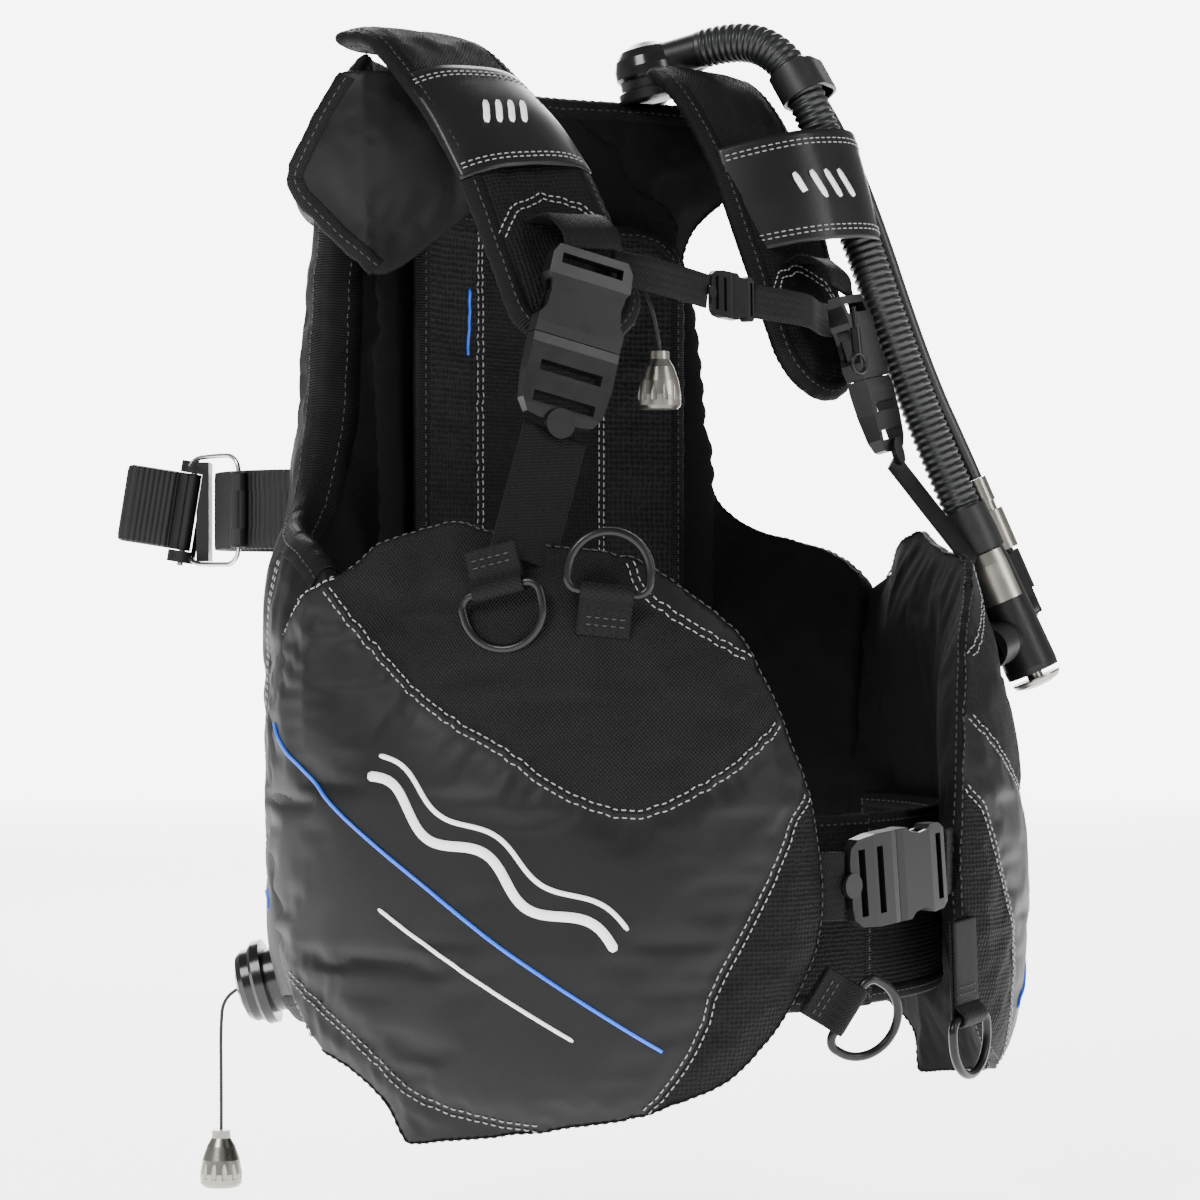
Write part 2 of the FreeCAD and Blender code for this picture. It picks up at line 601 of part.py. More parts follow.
def band_frame(turn, reach):
    """A place beside the tank: x outward, y the way round, z up."""
    angle = math.radians(turn)
    out = Vector(math.cos(angle), math.sin(angle), 0)
    return Placement(out * reach, Rotation(out, UP.cross(out), UP, "XYZ"))


def around_band(turn, reach, z):
    """A point beside the tank at a height."""
    return band_frame(turn, reach).Base + UP * z


def tank_band():
    """The band: two thirds of a circle on the tank, straight to the slots, flat inside the plate."""
    radius, thick, height = size("tank_radius"), size("band_thick"), size("band_width")
    front = size("torso_forward") + size("back_flat") - 1.0
    slot = size("plate_slot")
    loops = []
    for r, y in ((radius + thick, front - thick), (radius, front)):
        point = Vector(slot, y + 4, 0)
        lean = math.atan2(point.y, point.x) + math.acos(min(1.0, r / point.Length))
        touch = Vector(r * math.cos(lean), r * math.sin(lean), 0)
        other = Vector(-touch.x, touch.y, 0)
        low_right, low_left = Vector(slot, y, 0), Vector(-slot, y, 0)
        edges = [Part.Arc(touch, Vector(0, r, 0), other).toShape(),
                 Part.LineSegment(other, low_left).toShape(),
                 Part.LineSegment(low_left, low_right).toShape(),
                 Part.LineSegment(low_right, touch).toShape()]
        loop = doc.addObject("Part::Feature", "band_line")
        loop.Shape = Part.Face(Part.Wire(edges))
        loop.Placement = Placement(Vector(0, 0, -height / 2), Rotation())
        loops.append(make("Part::Extrusion", Base=loop, DirMode="Normal",
                          LengthFwd="Sizes.band_width", Solid=True))
    fold = rod(Placement(around_band(BAIL_TURN, 99.4, -24), Rotation()), "5.4", "48")
    bore = rod(Placement(around_band(BAIL_TURN, 99.4, -30), Rotation()), "Sizes.bail_wire / 2 + 0.3", "60")
    return node("tank_band", cut(fuse(cut(*loops), fold), bore))


def cam_buckle():
    """The buckle's body, its pivot pin, its lever standing open, and the webbing wrapped on it."""
    place = band_frame(BARREL_TURN, size("barrel_reach"))
    axis = step(place, rotation=Rotation(Vector(0, 1, 0), -9))
    barrel = rod(step(axis, z=-33), "Sizes.barrel_radius", "66")
    foot = block(step(place, x=-10.5, z=-32), "8", "24", "64")
    gap = block(step(axis, x=14, z=-25.5), "41", "30", "51")
    bore = rod(step(axis, z=-40), "Sizes.pin_radius + 0.1", "80")
    node("cam_buckle", cut(fuse(barrel, foot), gap, bore))
    node("cam_pivot_pin", rod(step(axis, z=-35), "Sizes.pin_radius", "70"))
    hub = rod(step(axis, z=-25), "5", "50")
    arm = block(step(axis, x=21, z=-25), "Sizes.lever_reach", "Sizes.lever_thick", "50")
    lever_bore = rod(step(axis, z=-40), "Sizes.pin_radius + 0.1", "80")
    node("cam_lever", cut(fuse(hub, arm), lever_bore))
    wrap = block(step(axis, x=26, z=-24.5), "Sizes.lever_reach - 3", "Sizes.lever_thick + 9", "49")
    inside = block(step(axis, x=20, z=-30), "Sizes.lever_reach + 3", "Sizes.lever_thick + 0.8", "60")
    node("band_tail", cut(wrap, inside))


def cam_bail():
    """The wire bail: two legs, over and under the band, and a bar held in the band's fold."""
    leg = [(140, 110, 30), (151, 107.5, 34), (165, 104, 34.5), (BAIL_TURN, 99.4, 34.5)]
    upper = [around_band(turn, reach, z) for turn, reach, z in leg]
    lower = [around_band(turn, reach, -z) for turn, reach, z in reversed(leg)]
    node("cam_bail", tube("cam_bail", upper + lower, "Sizes.bail_wire / 2"))


# ---------------------------------------------------------------- hoses and the inflator
# the feed coupling stands beside the body, away from the mouthpiece
COUPLING_SIDE = -24.6

HOSE_ROUTE = [(118.8, 64.5, 349.5), (129.6, 39.5, 355.6), (136.5, 9.5, 342.5), (144, -10, 306),
              (154, -20, 262), (161, -36, 220), (167, -50, 176), (178, -64, 126),
              (192.5, -79.5, 74.6), (204.4, -91.4, 36)]
FEED_ROUTE = [(217.8, -79.2, 75.6), (210.5, -71.9, 99.3), (199, -63, 130), (188, -50, 176),
              (180, -33, 232), (169, -13, 290), (156, 16, 340), (150, 62, 355), (144, 108, 341),
              (138, 146, 301), (132, 167, 250), (127, 174, 200), (125, 176, 162)]


def inflator():
    """Body, mouthpiece, nickel cover, both buttons and the feed hose's coupling."""
    body = turned([(0, -40), (16.4, -40), (16.8, -36), (15, 34), (13.4, 40), (13.4, 48), (0, 48)],
                  INFLATOR, "inflator_shell")
    sideways = Rotation(Vector(0, 1, 0), 90)
    port = rod(step(INFLATOR, z=-14, rotation=sideways), "12.4", "22")
    feed = rod(step(INFLATOR, x=COUPLING_SIDE, z=8), "7.6", "26")
    bridge = block(step(INFLATOR, x=COUPLING_SIDE / 2, z=-8), "24", "15", "41")
    nipple = rod(step(INFLATOR, x=COUPLING_SIDE, z=34), "4.4", "10")
    boss = rod(step(INFLATOR, x=-12, z=-2, rotation=Rotation(Vector(0, 1, 0), -90)), "9", "9")
    bore = rod(step(INFLATOR, x=-13, z=-2, rotation=Rotation(Vector(0, 1, 0), -90)), "7.3", "30")
    airway = rod(step(INFLATOR, x=4, z=-14, rotation=sideways), "8.5", "30")
    plunger = rod(step(INFLATOR, z=-50), "5.4", "26")
    node("inflator_body", cut(fuse(body, port, feed, bridge, nipple, boss), bore, airway, plunger))

    cover = turned([(16.1, 8), (17.8, 8), (17.6, 32), (16.6, 40), (15.2, 39), (15.7, 32)],
                   INFLATOR, "cover_shell")
    front = block(step(INFLATOR, x=14), "24", "50", "60")
    node("inflator_cover", common(cover, front))

    node("deflate_button", turned([(0, -49), (8, -49), (14, -47), (15.6, -44.6), (15.6, -43.6),
                                   (5, -43.6), (5, -32), (0, -32)], INFLATOR, "deflate_shell"))
    node("inflate_button", rod(step(INFLATOR, x=-17.5, z=-2, rotation=Rotation(Vector(0, 1, 0), -90)),
                               "7", "7"))

    oval = [(13.6 * math.cos(turn), 17 * math.sin(turn)) for turn in
            (math.radians(degrees) for degrees in range(0, 360, 30))]
    lip = prism(step(INFLATOR, x=22.2, z=-14, rotation=sideways), oval, "14", smooth=True)
    mouth = block(step(INFLATOR, x=12, z=-14, rotation=sideways), "15", "22", "60")
    node("mouthpiece", cut(lip, mouth))

    collar_place = step(INFLATOR, x=COUPLING_SIDE, z=36)
    sleeve = rod(collar_place, "Sizes.coupling_radius", "26")
    inside = rod(step(collar_place, z=-2), "6.1", "30")
    node("lp_coupling", cut(sleeve, inside))
    node("lp_hose_ferrule", fuse(rod(step(collar_place, z=9), "5.6", "24"),
                                 rod(step(collar_place, z=32), "6.8", "15.8")))


def hoses():
    """The corrugated hose with its cuff, elbow and keeper, and the low-pressure feed hose."""
    node("corrugated_hose", tube("corrugated_hose", [torso(*p) for p in HOSE_ROUTE],
                                 "Sizes.hose_outer / 2"))
    cuff = turned([(13.7, 41), (15.5, 41), (15.5, 52), (14.4, 70), (13.7, 70)], INFLATOR, "cuff_shell")
    node("hose_cuff", cuff)

    node("lp_hose", tube("lp_hose", [torso(*p) for p in FEED_ROUTE], "Sizes.feed_outer / 2"))
    last, end = torso(*FEED_ROUTE[-2]), torso(*FEED_ROUTE[-1])
    down = Placement(end, axes(Vector(1, 0, 0), end - last))
    hexagon = [(9.5 * math.cos(math.radians(a)), 9.5 * math.sin(math.radians(a)))
               for a in range(0, 360, 60)]
    node("lp_hose_fitting", fuse(rod(step(down, z=0.2), "7", "14"), prism(step(down, z=14), hexagon, "9"),
                                 rod(step(down, z=23), "4.7", "9")))

    base = turned([(0, 0), (22, 0), (22, 6), (19.5, 7.5), (19.5, 13), (13.5, 13), (13.5, 30), (0, 30)],
                  ELBOW, "elbow_base")
    inner, outlet = step(ELBOW, z=22).Base, torso(*HOSE_ROUTE[0])
    port = Placement(inner, axes(UP, outlet - inner))
    node("shoulder_elbow", fuse(base, rod(port, "Sizes.hose_outer / 2 - 1.2",
                                          str((outlet - inner).Length - 0.2))))
    dome = turned([(14.2, 13.3), (20.5, 13.3), (21.5, 15.5), (21.3, 21), (19.6, 27), (15.5, 32.4),
                   (9, 36), (0, 37.5), (0, 30.6), (14.2, 30.6)], ELBOW, "elbow_dome")
    node("elbow_cap", cut(dome, rod(port, "Sizes.hose_outer / 2 - 0.6", "80")))

    above, below = torso(*HOSE_ROUTE[2]), torso(*HOSE_ROUTE[3])
    keeper = Placement((above + below) * 0.5, axes(Vector(0.92, 0.38, 0), below - above))
    rings = []
    for radius, drop, height in (("15.5", -10, "20"), ("13.3", -11, "22")):
        ends = [rod(step(keeper, x=x, z=drop), radius, height) for x in (0, 17)]
        rings.append(fuse(*ends, block(step(keeper, x=8.5, z=drop), "17", f"2 * {radius}", height)))
    node("hose_keeper", cut(*rings))


# ---------------------------------------------------------------- dump valves and pull cords
def dump_valve(name, place, vents):
    """A valve's flanged body, set through the bladder's seat, and its domed cap with vents."""
    flange = [(0, -11), (19, -11), (19, 0.6), (25, 0.6), (25, 6), (23, 8), (0, 8)]
    body = turned(flange, place, name + "_flange")
    dome = turned([(0, 8.3), (21.5, 8.3), (21.5, 13), (19, 16.5), (13, 18.6), (0, 19)],
                  place, name + "_dome")
    holes = [rod(step(place.multiply(Placement(Vector(), Rotation(UP, turn))), x=16, z=13), "1.6", "12")
             for turn in range(0, 360, 360 // vents)]
    return body, cut(dome, *holes)


def knob(name, top):
    """A fluted bell that hangs on a pull cord: its top face is at the point given."""
    place = Placement(top - UP * size("knob_length"), Rotation())
    bell = turned([(0, 0), (10.5, 0), (12.2, 2), (12.3, 8), (11, 16), (8.2, 24), (5.6, 28.5),
                   (5.4, 33), (0, 33)], place, name + "_bell")
    flutes = [rod(step(place.multiply(Placement(Vector(), Rotation(UP, turn))), x=13.2, z=5), "1.9", "17")
              for turn in range(0, 360, 30)]
    node(name, cut(bell, *flutes))


def valves():
    """Both dump valves, and their pull cords with the knobs."""
    body, cap = dump_valve("lower_dump", LOWER_VALVE, 12)
    node("lower_dump_body", body)
    node("lower_dump_cap", cap)
    body, cap = dump_valve("shoulder_dump", SHOULDER_VALVE, 12)
    node("shoulder_dump_valve", fuse(body, cap, rod(step(SHOULDER_VALVE, z=7), "12", "3")))

    start = step(LOWER_VALVE, z=19.3).Base
    out = LOWER_VALVE.Rotation.multVec(UP)
    turn = start + out * 10 - UP * 2
    cord = [start, turn, turn + Vector(-1.5, 1, -19), turn + Vector(-0.5, 1.5, -50),
            turn + Vector(-1, 1, -79)]
    node("lower_pull_cord", tube("lower_pull_cord", cord, "Sizes.cord_outer / 2"))
    knob("lower_pull_knob", cord[-1] - UP * 0.2)

    cord = [torso(-76.6, -77, 176), torso(-72, -82.5, 162), torso(-71, -83.5, 142)]
    node("shoulder_pull_cord", tube("shoulder_pull_cord", cord, "Sizes.cord_outer / 2"))
    knob("shoulder_pull_knob", cord[-1] - UP * 0.2)


def snap_clip():
    """A small swivel clip that hangs beside the left buckle, from the chest strap's end."""
    place = Placement(torso(90, -93, 150), axes(Vector(1, 0, 0), Vector(-0.05, 0.1, 1)))
    ring = make("Part::Torus", step(place, z=-8, rotation=Rotation(Vector(1, 0, 0), 90)),
                Radius1="6", Radius2="1.3")
    node("snap_clip", fuse(ring, rod(step(place, z=-2.6), "3.3", "16"), rod(step(place, z=12), "1.6", "14")))


# ---------------------------------------------------------------- assembly
for side in (RIGHT, LEFT):
    lobe(side)
    cummerbund(side)
    shoulder_pad(side)
back_bladder()
back_pad()
collar()
sleeves()
rings_and_tabs([shoulder_hardware(side) for side in (RIGHT, LEFT)])
sternum_strap()
waist_strap()
backplate()
carry_handle()
tank_band()
cam_buckle()
cam_bail()
inflator()
hoses()
valves()
snap_clip()
doc.recompute()

# ---------------------------------------------------------------- checks, then the files
for thing in doc.Objects:
    if "Invalid" in thing.State or "Error" in thing.State:
        raise RuntimeError(f"{thing.Name} ({thing.Label}) failed: {thing.State}")
for name, thing in NODES.items():
    if thing.Shape.isNull() or not thing.Shape.isValid():
        raise RuntimeError(f"{name} has no valid shape")
os.makedirs("parts", exist_ok=True)
for name, thing in NODES.items():
    thing.Shape.exportStep(f"parts/{name}.step")
print(f"{len(NODES)} nodes written")
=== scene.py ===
"""The buoyancy vest's looks over its CAD frame: quilted shells, seams, straps, hoses and finishes."""

import math

import bpy
import numpy as np
from mathutils import Matrix, Vector, geometry, noise
from mathutils.bvhtree import BVHTree


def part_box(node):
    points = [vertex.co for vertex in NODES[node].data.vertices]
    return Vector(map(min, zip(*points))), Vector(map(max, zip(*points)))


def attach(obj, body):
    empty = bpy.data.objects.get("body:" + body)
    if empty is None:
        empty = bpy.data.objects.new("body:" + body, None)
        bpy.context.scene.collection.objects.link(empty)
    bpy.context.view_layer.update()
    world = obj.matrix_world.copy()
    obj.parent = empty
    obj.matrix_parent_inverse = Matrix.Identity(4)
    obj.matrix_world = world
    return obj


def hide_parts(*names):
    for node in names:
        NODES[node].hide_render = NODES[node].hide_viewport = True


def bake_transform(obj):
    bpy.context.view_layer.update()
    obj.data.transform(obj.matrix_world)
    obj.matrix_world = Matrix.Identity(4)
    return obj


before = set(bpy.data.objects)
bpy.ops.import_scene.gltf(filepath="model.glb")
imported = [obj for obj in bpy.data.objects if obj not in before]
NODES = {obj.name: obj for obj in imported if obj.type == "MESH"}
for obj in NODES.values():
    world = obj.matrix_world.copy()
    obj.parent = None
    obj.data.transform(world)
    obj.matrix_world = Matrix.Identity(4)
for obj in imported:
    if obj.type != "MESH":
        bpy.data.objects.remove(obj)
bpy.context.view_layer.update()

# ---------------------------------------------------------------- camera
camera = bpy.data.cameras.new("camera")
camera.lens, camera.sensor_width = 110, 36
camera_object = bpy.data.objects.new("camera", camera)
camera_object.location = (-1.5733, -1.7929, -0.057)
camera_object.rotation_euler = Vector((1, 1, 0)).to_track_quat("-Z", "Y").to_euler()
bpy.context.scene.collection.objects.link(camera_object)
bpy.context.scene.camera = camera_object

RIGHT, LEFT = -1, 1
ARC = 0.229          # metres of skin for one radian round the jacket
ROUND = 2 * math.pi * ARC      # and all the way round
NAMES = {RIGHT: "right", LEFT: "left"}


# ---------------------------------------------------------------- materials
class Finish:
    """A procedural material whose nodes are added one call at a time."""

    def __init__(self, name, colour, roughness, **settings):
        self.material = bpy.data.materials.new(name)
        self.material.use_nodes = True
        self.nodes = self.material.node_tree.nodes
        self.links = self.material.node_tree.links
        self.shader = self.nodes["Principled BSDF"]
        self.colour = colour
        self.set(self.shader, {"Base Color": (*colour, 1), "Roughness": roughness, **settings})

    def set(self, node, values):
        for key, value in values.items():
            if isinstance(value, bpy.types.NodeSocket):
                self.links.new(value, node.inputs[key])
            else:
                node.inputs[key].default_value = value

    def add(self, kind, values=None, **settings):
        made = self.nodes.new("ShaderNode" + kind)
        for key, value in settings.items():
            setattr(made, key, value)
        self.set(made, values or {})
        return made

    def math(self, operation, first, second=0.0):
        return self.add("Math", {0: first, 1: second}, operation=operation).outputs[0]

    def uv(self):
        """The two pattern coordinates of the cloth, in metres."""
        parts = self.add("SeparateXYZ", {0: self.add("TexCoord").outputs["UV"]})
        return parts.outputs[0], parts.outputs[1]

    def wave(self, distance, pitch):
        """A wave from 0 to 1 along a distance."""
        turn = self.math("MULTIPLY", distance, 2 * math.pi / pitch)
        return self.math("MULTIPLY_ADD", self.math("SINE", turn), 0.5)

    def specks(self, size, detail=3.0):
        """Soft noise from 0 to 1 in the object's own space."""
        place = self.add("TexCoord").outputs["Object"]
        return self.add("TexNoise", {"Vector": place, "Scale": 1 / size, "Detail": detail}).outputs[0]

    def mix(self, share, low, high):
        """A colour between two, chosen by a share from 0 to 1."""
        ramp = self.add("ValToRGB", {0: share})
        ramp.color_ramp.elements[0].color = (*low, 1)
        ramp.color_ramp.elements[1].color = (*high, 1)
        return ramp.outputs[0]

    def relief(self, height, distance, strength=1.0):
        bump = self.add("Bump", {"Height": height, "Distance": distance, "Strength": strength})
        self.set(self.shader, {"Normal": bump.outputs[0]})


def shade(colour, factor):
    return tuple(min(1.0, part * factor) for part in colour)


def woven(name, colour, roughness, pitch, depth, contrast=1.8, **settings):
    """Plain weave: threads over and under each other along both pattern directions."""
    finish = Finish(name, colour, roughness, **settings)
    u, v = finish.uv()
    over, under = finish.wave(u, pitch), finish.wave(v, pitch)
    height = finish.math("MULTIPLY", over, under)
    lift = finish.math("MAXIMUM", height, finish.math("MULTIPLY", finish.math("SUBTRACT", 1.0, over),
                                                      finish.math("SUBTRACT", 1.0, under)))
    stain = finish.specks(0.03)
    tint = finish.math("ADD", finish.math("MULTIPLY", lift, 0.8), finish.math("MULTIPLY", stain, 0.4))
    finish.set(finish.shader, {"Base Color": finish.mix(tint, shade(colour, 1 / contrast),
                                                        shade(colour, contrast))})
    finish.relief(lift, depth)
    return finish.material


def coated(name, colour, roughness, grain=0.0006, **settings):
    """Smooth coated cloth with a fine grain and uneven sheen."""
    finish = Finish(name, colour, roughness, **settings)
    cloud = finish.specks(0.05)
    fine = finish.specks(grain, 2.0)
    finish.set(finish.shader, {"Base Color": finish.mix(cloud, shade(colour, 0.8), shade(colour, 1.25))})
    rough = finish.math("MULTIPLY_ADD", cloud, 0.18)
    rough.node.inputs[2].default_value = roughness - 0.09
    finish.set(finish.shader, {"Roughness": rough})
    finish.relief(fine, 0.0002, 0.5)
    return finish.material


def open_mesh(name, colour, pitch, depth, **settings):
    """Knitted mesh with round holes."""
    finish = Finish(name, colour, 0.65, **settings)
    u, v = finish.uv()
    scale = 1 / pitch
    cells = finish.add("CombineXYZ", {0: finish.math("MULTIPLY", u, scale),
                                      1: finish.math("MULTIPLY", v, scale)})
    holes = finish.add("TexVoronoi", {"Vector": cells.outputs[0], "Scale": 1.0, "Randomness": 0.25})
    ring = finish.math("MULTIPLY", holes.outputs["Distance"], 1.7)
    finish.set(finish.shader, {"Base Color": finish.mix(ring, shade(colour, 0.25), shade(colour, 1.7))})
    finish.relief(ring, depth)
    return finish.material


def ribbed(name, colour, roughness, pitch, depth, slant=0.0, contrast=1.6, **settings):
    """Webbing or grosgrain: ribs across the length, with an optional zigzag."""
    finish = Finish(name, colour, roughness, **settings)
    u, v = finish.uv()
    zigzag = finish.math("MULTIPLY", finish.math("PINGPONG", v, 0.0022), slant)
    ribs = finish.wave(finish.math("ADD", u, zigzag), pitch)
    tint = finish.math("ADD", finish.math("MULTIPLY", ribs, 0.75),
                       finish.math("MULTIPLY", finish.specks(0.02), 0.4))
    finish.set(finish.shader, {"Base Color": finish.mix(tint, shade(colour, 1 / contrast),
                                                        shade(colour, contrast))})
    finish.relief(ribs, depth)
    return finish.material


def moulded(name, colour, roughness, grain=0.0009, depth=0.00012, **settings):
    """Moulded plastic, rubber or metal with a slightly uneven surface."""
    finish = Finish(name, colour, roughness, **settings)
    cloud = finish.specks(0.012)
    rough = finish.math("MULTIPLY_ADD", cloud, 0.16)
    rough.node.inputs[2].default_value = roughness - 0.08
    finish.set(finish.shader, {"Roughness": rough,
                               "Base Color": finish.mix(cloud, shade(colour, 0.85), shade(colour, 1.15))})
    finish.relief(finish.specks(grain, 2.0), depth, 0.6)
    return finish.material


CLOTH = {"Specular IOR Level": 0.08}
CORDURA = woven("cordura", (0.0052, 0.0052, 0.0056), 0.7, 0.0023, 0.0009, contrast=2.6, **CLOTH)
LINING = woven("lining", (0.0032, 0.0032, 0.0034), 0.85, 0.0012, 0.0003, **CLOTH)
COATED = coated("coated_nylon", (0.0045, 0.0045, 0.0049), 0.5, **{"Specular IOR Level": 0.17})
SMOOTH = coated("smooth_nylon", (0.003, 0.003, 0.0032), 0.5, **{"Specular IOR Level": 0.12})
SLEEVE = coated("sleeve_coating", (0.004, 0.004, 0.0044), 0.34, **{"Specular IOR Level": 0.25})
MESH = open_mesh("open_mesh", (0.0036, 0.0036, 0.0038), 0.0026, 0.0006, **CLOTH)
SPACER = open_mesh("spacer_mesh", (0.006, 0.006, 0.0064), 0.0036, 0.0009, **CLOTH)
BINDING = ribbed("binding", (0.0036, 0.0036, 0.0038), 0.6, 0.0016, 0.0003, **CLOTH)
WEBBING = ribbed("webbing", (0.0036, 0.0036, 0.0038), 0.6, 0.0021, 0.0003, slant=1.0,
                 **{"Specular IOR Level": 0.1})
BAND = ribbed("band_webbing", (0.007, 0.007, 0.0076), 0.6, 0.0034, 0.0006, **{"Specular IOR Level": 0.2})
THREAD = coated("light_thread", (0.2, 0.205, 0.215), 0.6)
DARK_THREAD = coated("dark_thread", (0.012, 0.012, 0.0125), 0.6)
PIPING = coated("blue_piping", (0.003, 0.085, 0.62), 0.4)
PRINT = coated("pale_print", (0.75, 0.76, 0.77), 0.55)
RUBBER = moulded("hose_rubber", (0.007, 0.0075, 0.008), 0.4, **{"Specular IOR Level": 0.4})
FEED = moulded("feed_hose", (0.008, 0.0083, 0.0092), 0.38)
SOFT_RUBBER = moulded("soft_rubber", (0.005, 0.005, 0.0053), 0.45, **{"Specular IOR Level": 0.35})
MATTE = moulded("matte_plastic", (0.0045, 0.0045, 0.0049), 0.4, **{"Specular IOR Level": 0.25})
BUCKLE = moulded("buckle_plastic", (0.0036, 0.0036, 0.0039), 0.3, depth=0.00004,
                 **{"Specular IOR Level": 0.24})
GLOSS = moulded("gloss_plastic", (0.004, 0.004, 0.0043), 0.2, depth=0.00004, **{"Specular IOR Level": 0.35})
NICKEL = moulded("nickel", (0.25, 0.235, 0.21), 0.3, depth=0.00005, Metallic=1.0)
STAINLESS = moulded("stainless", (0.5, 0.5, 0.5), 0.2, depth=0.00004, Metallic=1.0)


# ---------------------------------------------------------------- curves and meshes
def torso(x, y, z):
    """A point measured in mm from the torso's centre, in the row frame in metres."""
    return np.array((x, y - 255.0, z - 57.0)) / 1000


def smoothstep(x):
    """A smooth rise from 0 to 1."""
    x = np.clip(x, 0, 1)
    return x * x * (3 - 2 * x)


def through(rows, spacing):
    """Rows on a smooth curve through the given rows, about a spacing apart in their first 3 values."""
    rows = np.array(rows, float)
    made = []
    for i in range(len(rows) - 1):
        p1, p2 = rows[i], rows[i + 1]
        p0 = rows[i - 1] if i else 2 * p1 - p2
        p3 = rows[i + 2] if i + 2 < len(rows) else 2 * p2 - p1
        steps = max(1, round(float(np.linalg.norm((p2 - p1)[:3])) / spacing))
        for t in np.arange(steps) / steps:
            made.append(0.5 * (2 * p1 + (p2 - p0) * t + (2 * p0 - 5 * p1 + 4 * p2 - p3) * t ** 2
                               + (3 * p1 - p0 - 3 * p2 + p3) * t ** 3))
    made.append(rows[-1])
    return np.array(made)


def evenly(line, spacing):
    """The polyline's points set an equal distance apart."""
    line = np.array(line, float)
    reach = np.concatenate([[0], np.cumsum(np.linalg.norm(np.diff(line, axis=0), axis=1))])
    count = max(2, round(reach[-1] / spacing) + 1)
    at = np.linspace(0, reach[-1], count)
    return np.stack([np.interp(at, reach, line[:, k]) for k in range(line.shape[1])], axis=1)


def distance_to(points, line):
    """How far each point is from the nearest part of a polyline."""
    best = np.full(len(points), 1e9)
    for a, b in zip(line[:-1], line[1:]):
        ab = b - a
        t = np.clip(((points - a) @ ab) / max(float(ab @ ab), 1e-12), 0, 1)
        best = np.minimum(best, np.linalg.norm(points - a - t[:, None] * ab, axis=1))
    return best


def inside(points, loop):
    """Which 2-D points are inside a closed polygon."""
    found = np.zeros(len(points), bool)
    x, y = points[:, 0], points[:, 1]
    for (x0, y0), (x1, y1) in zip(loop, np.roll(loop, -1, axis=0)):
        crosses = (y0 > y) != (y1 > y)
        with np.errstate(divide="ignore", invalid="ignore"):
            found ^= crosses & (x < (x1 - x0) * (y - y0) / (y1 - y0) + x0)
    return found


def build(name, verts, faces, uvs, materials, chosen=None, body="jacket"):
    """A smooth mesh object riding on a body; uvs hold one pair for each vertex, or one list for each face."""
    mesh = bpy.data.meshes.new(name)
    mesh.from_pydata([tuple(v) for v in verts], [], [tuple(int(i) for i in f) for f in faces])
    layer = mesh.uv_layers.new(name="UVMap")
    if len(uvs) == len(verts):
        index = np.zeros(len(mesh.loops), np.int32)
        mesh.loops.foreach_get("vertex_index", index)
        flat = np.array(uvs, np.float32)[index]
    else:
        flat = np.array([pair for face in uvs for pair in face], np.float32)
    layer.data.foreach_set("uv", flat.ravel())
    for material in materials:
        mesh.materials.append(material)
    if chosen is not None:
        mesh.polygons.foreach_set("material_index", np.array(chosen, np.int32))
    mesh.shade_smooth()
    made = bpy.data.objects.new(name, mesh)
    bpy.context.scene.collection.objects.link(made)
    if body:
        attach(made, body)
    return made


def grid(name, rows, material, around=False, body="jacket", closed=False):
    """A mesh over rows of points; around closes each row on itself, closed joins the last row to the first."""
    rows = np.array(rows, float)
    count, wide = rows.shape[:2]
    along = np.concatenate([[0], np.cumsum(np.linalg.norm(np.diff(rows.mean(1), axis=0), axis=1))])
    ring = np.concatenate([rows, rows[:, :1]], axis=1) if around else rows
    across = np.concatenate([[0], np.cumsum(np.linalg.norm(np.diff(ring, axis=1), axis=2).mean(0))])
    faces, uvs = [], []
    for i in range(count if closed else count - 1):
        n = (i + 1) % count
        far = along[i + 1] if i + 1 < count else along[-1] + along[1]
        for j in range(wide if around else wide - 1):
            k = (j + 1) % wide
            faces.append((i * wide + j, i * wide + k, n * wide + k, n * wide + j))
            uvs.append([(along[i], across[j]), (along[i], across[j + 1]), (far, across[j + 1]),
                        (far, across[j])])
    if around and not closed:
        for i, order in ((0, range(wide - 1, -1, -1)), (count - 1, range(wide))):
            faces.append([i * wide + j for j in order])
            uvs.append([(along[i], across[j]) for j in order])
    return build(name, rows.reshape(-1, 3), faces, uvs, [material], body=body)


def strap_section(width, thick, round_off=0.8):
    """Points round a flat strap's section, its edges rounded."""
    half, t = width / 2, thick / 2
    corner = [(half - t * (1 - math.cos(a)) * 1.2,
               t * math.sin(a) * round_off if abs(a) > 1.2 else t * math.sin(a))
              for a in np.radians((-90, -60, -30, 0, 30, 60, 90))]
    inner = [(half * s, t) for s in (0.85, 0.5, 0.0, -0.5, -0.85)]
    top = corner + inner
    return np.array(top + [(-a, -b) for a, b in top])


def frames(rows, closed=False):
    """For rows of (point, across, share): the points, across and outward unit directions."""
    points = rows[:, :3]
    if closed:
        along = np.roll(points, -1, axis=0) - np.roll(points, 1, axis=0)
    else:
        along = np.gradient(points, axis=0)
    across = rows[:, 3:6] / np.linalg.norm(rows[:, 3:6], axis=1)[:, None]
    out = np.cross(across, along)
    out /= np.linalg.norm(out, axis=1)[:, None]
    across = np.cross(along, out)
    across /= np.linalg.norm(across, axis=1)[:, None]
    return points, across, out


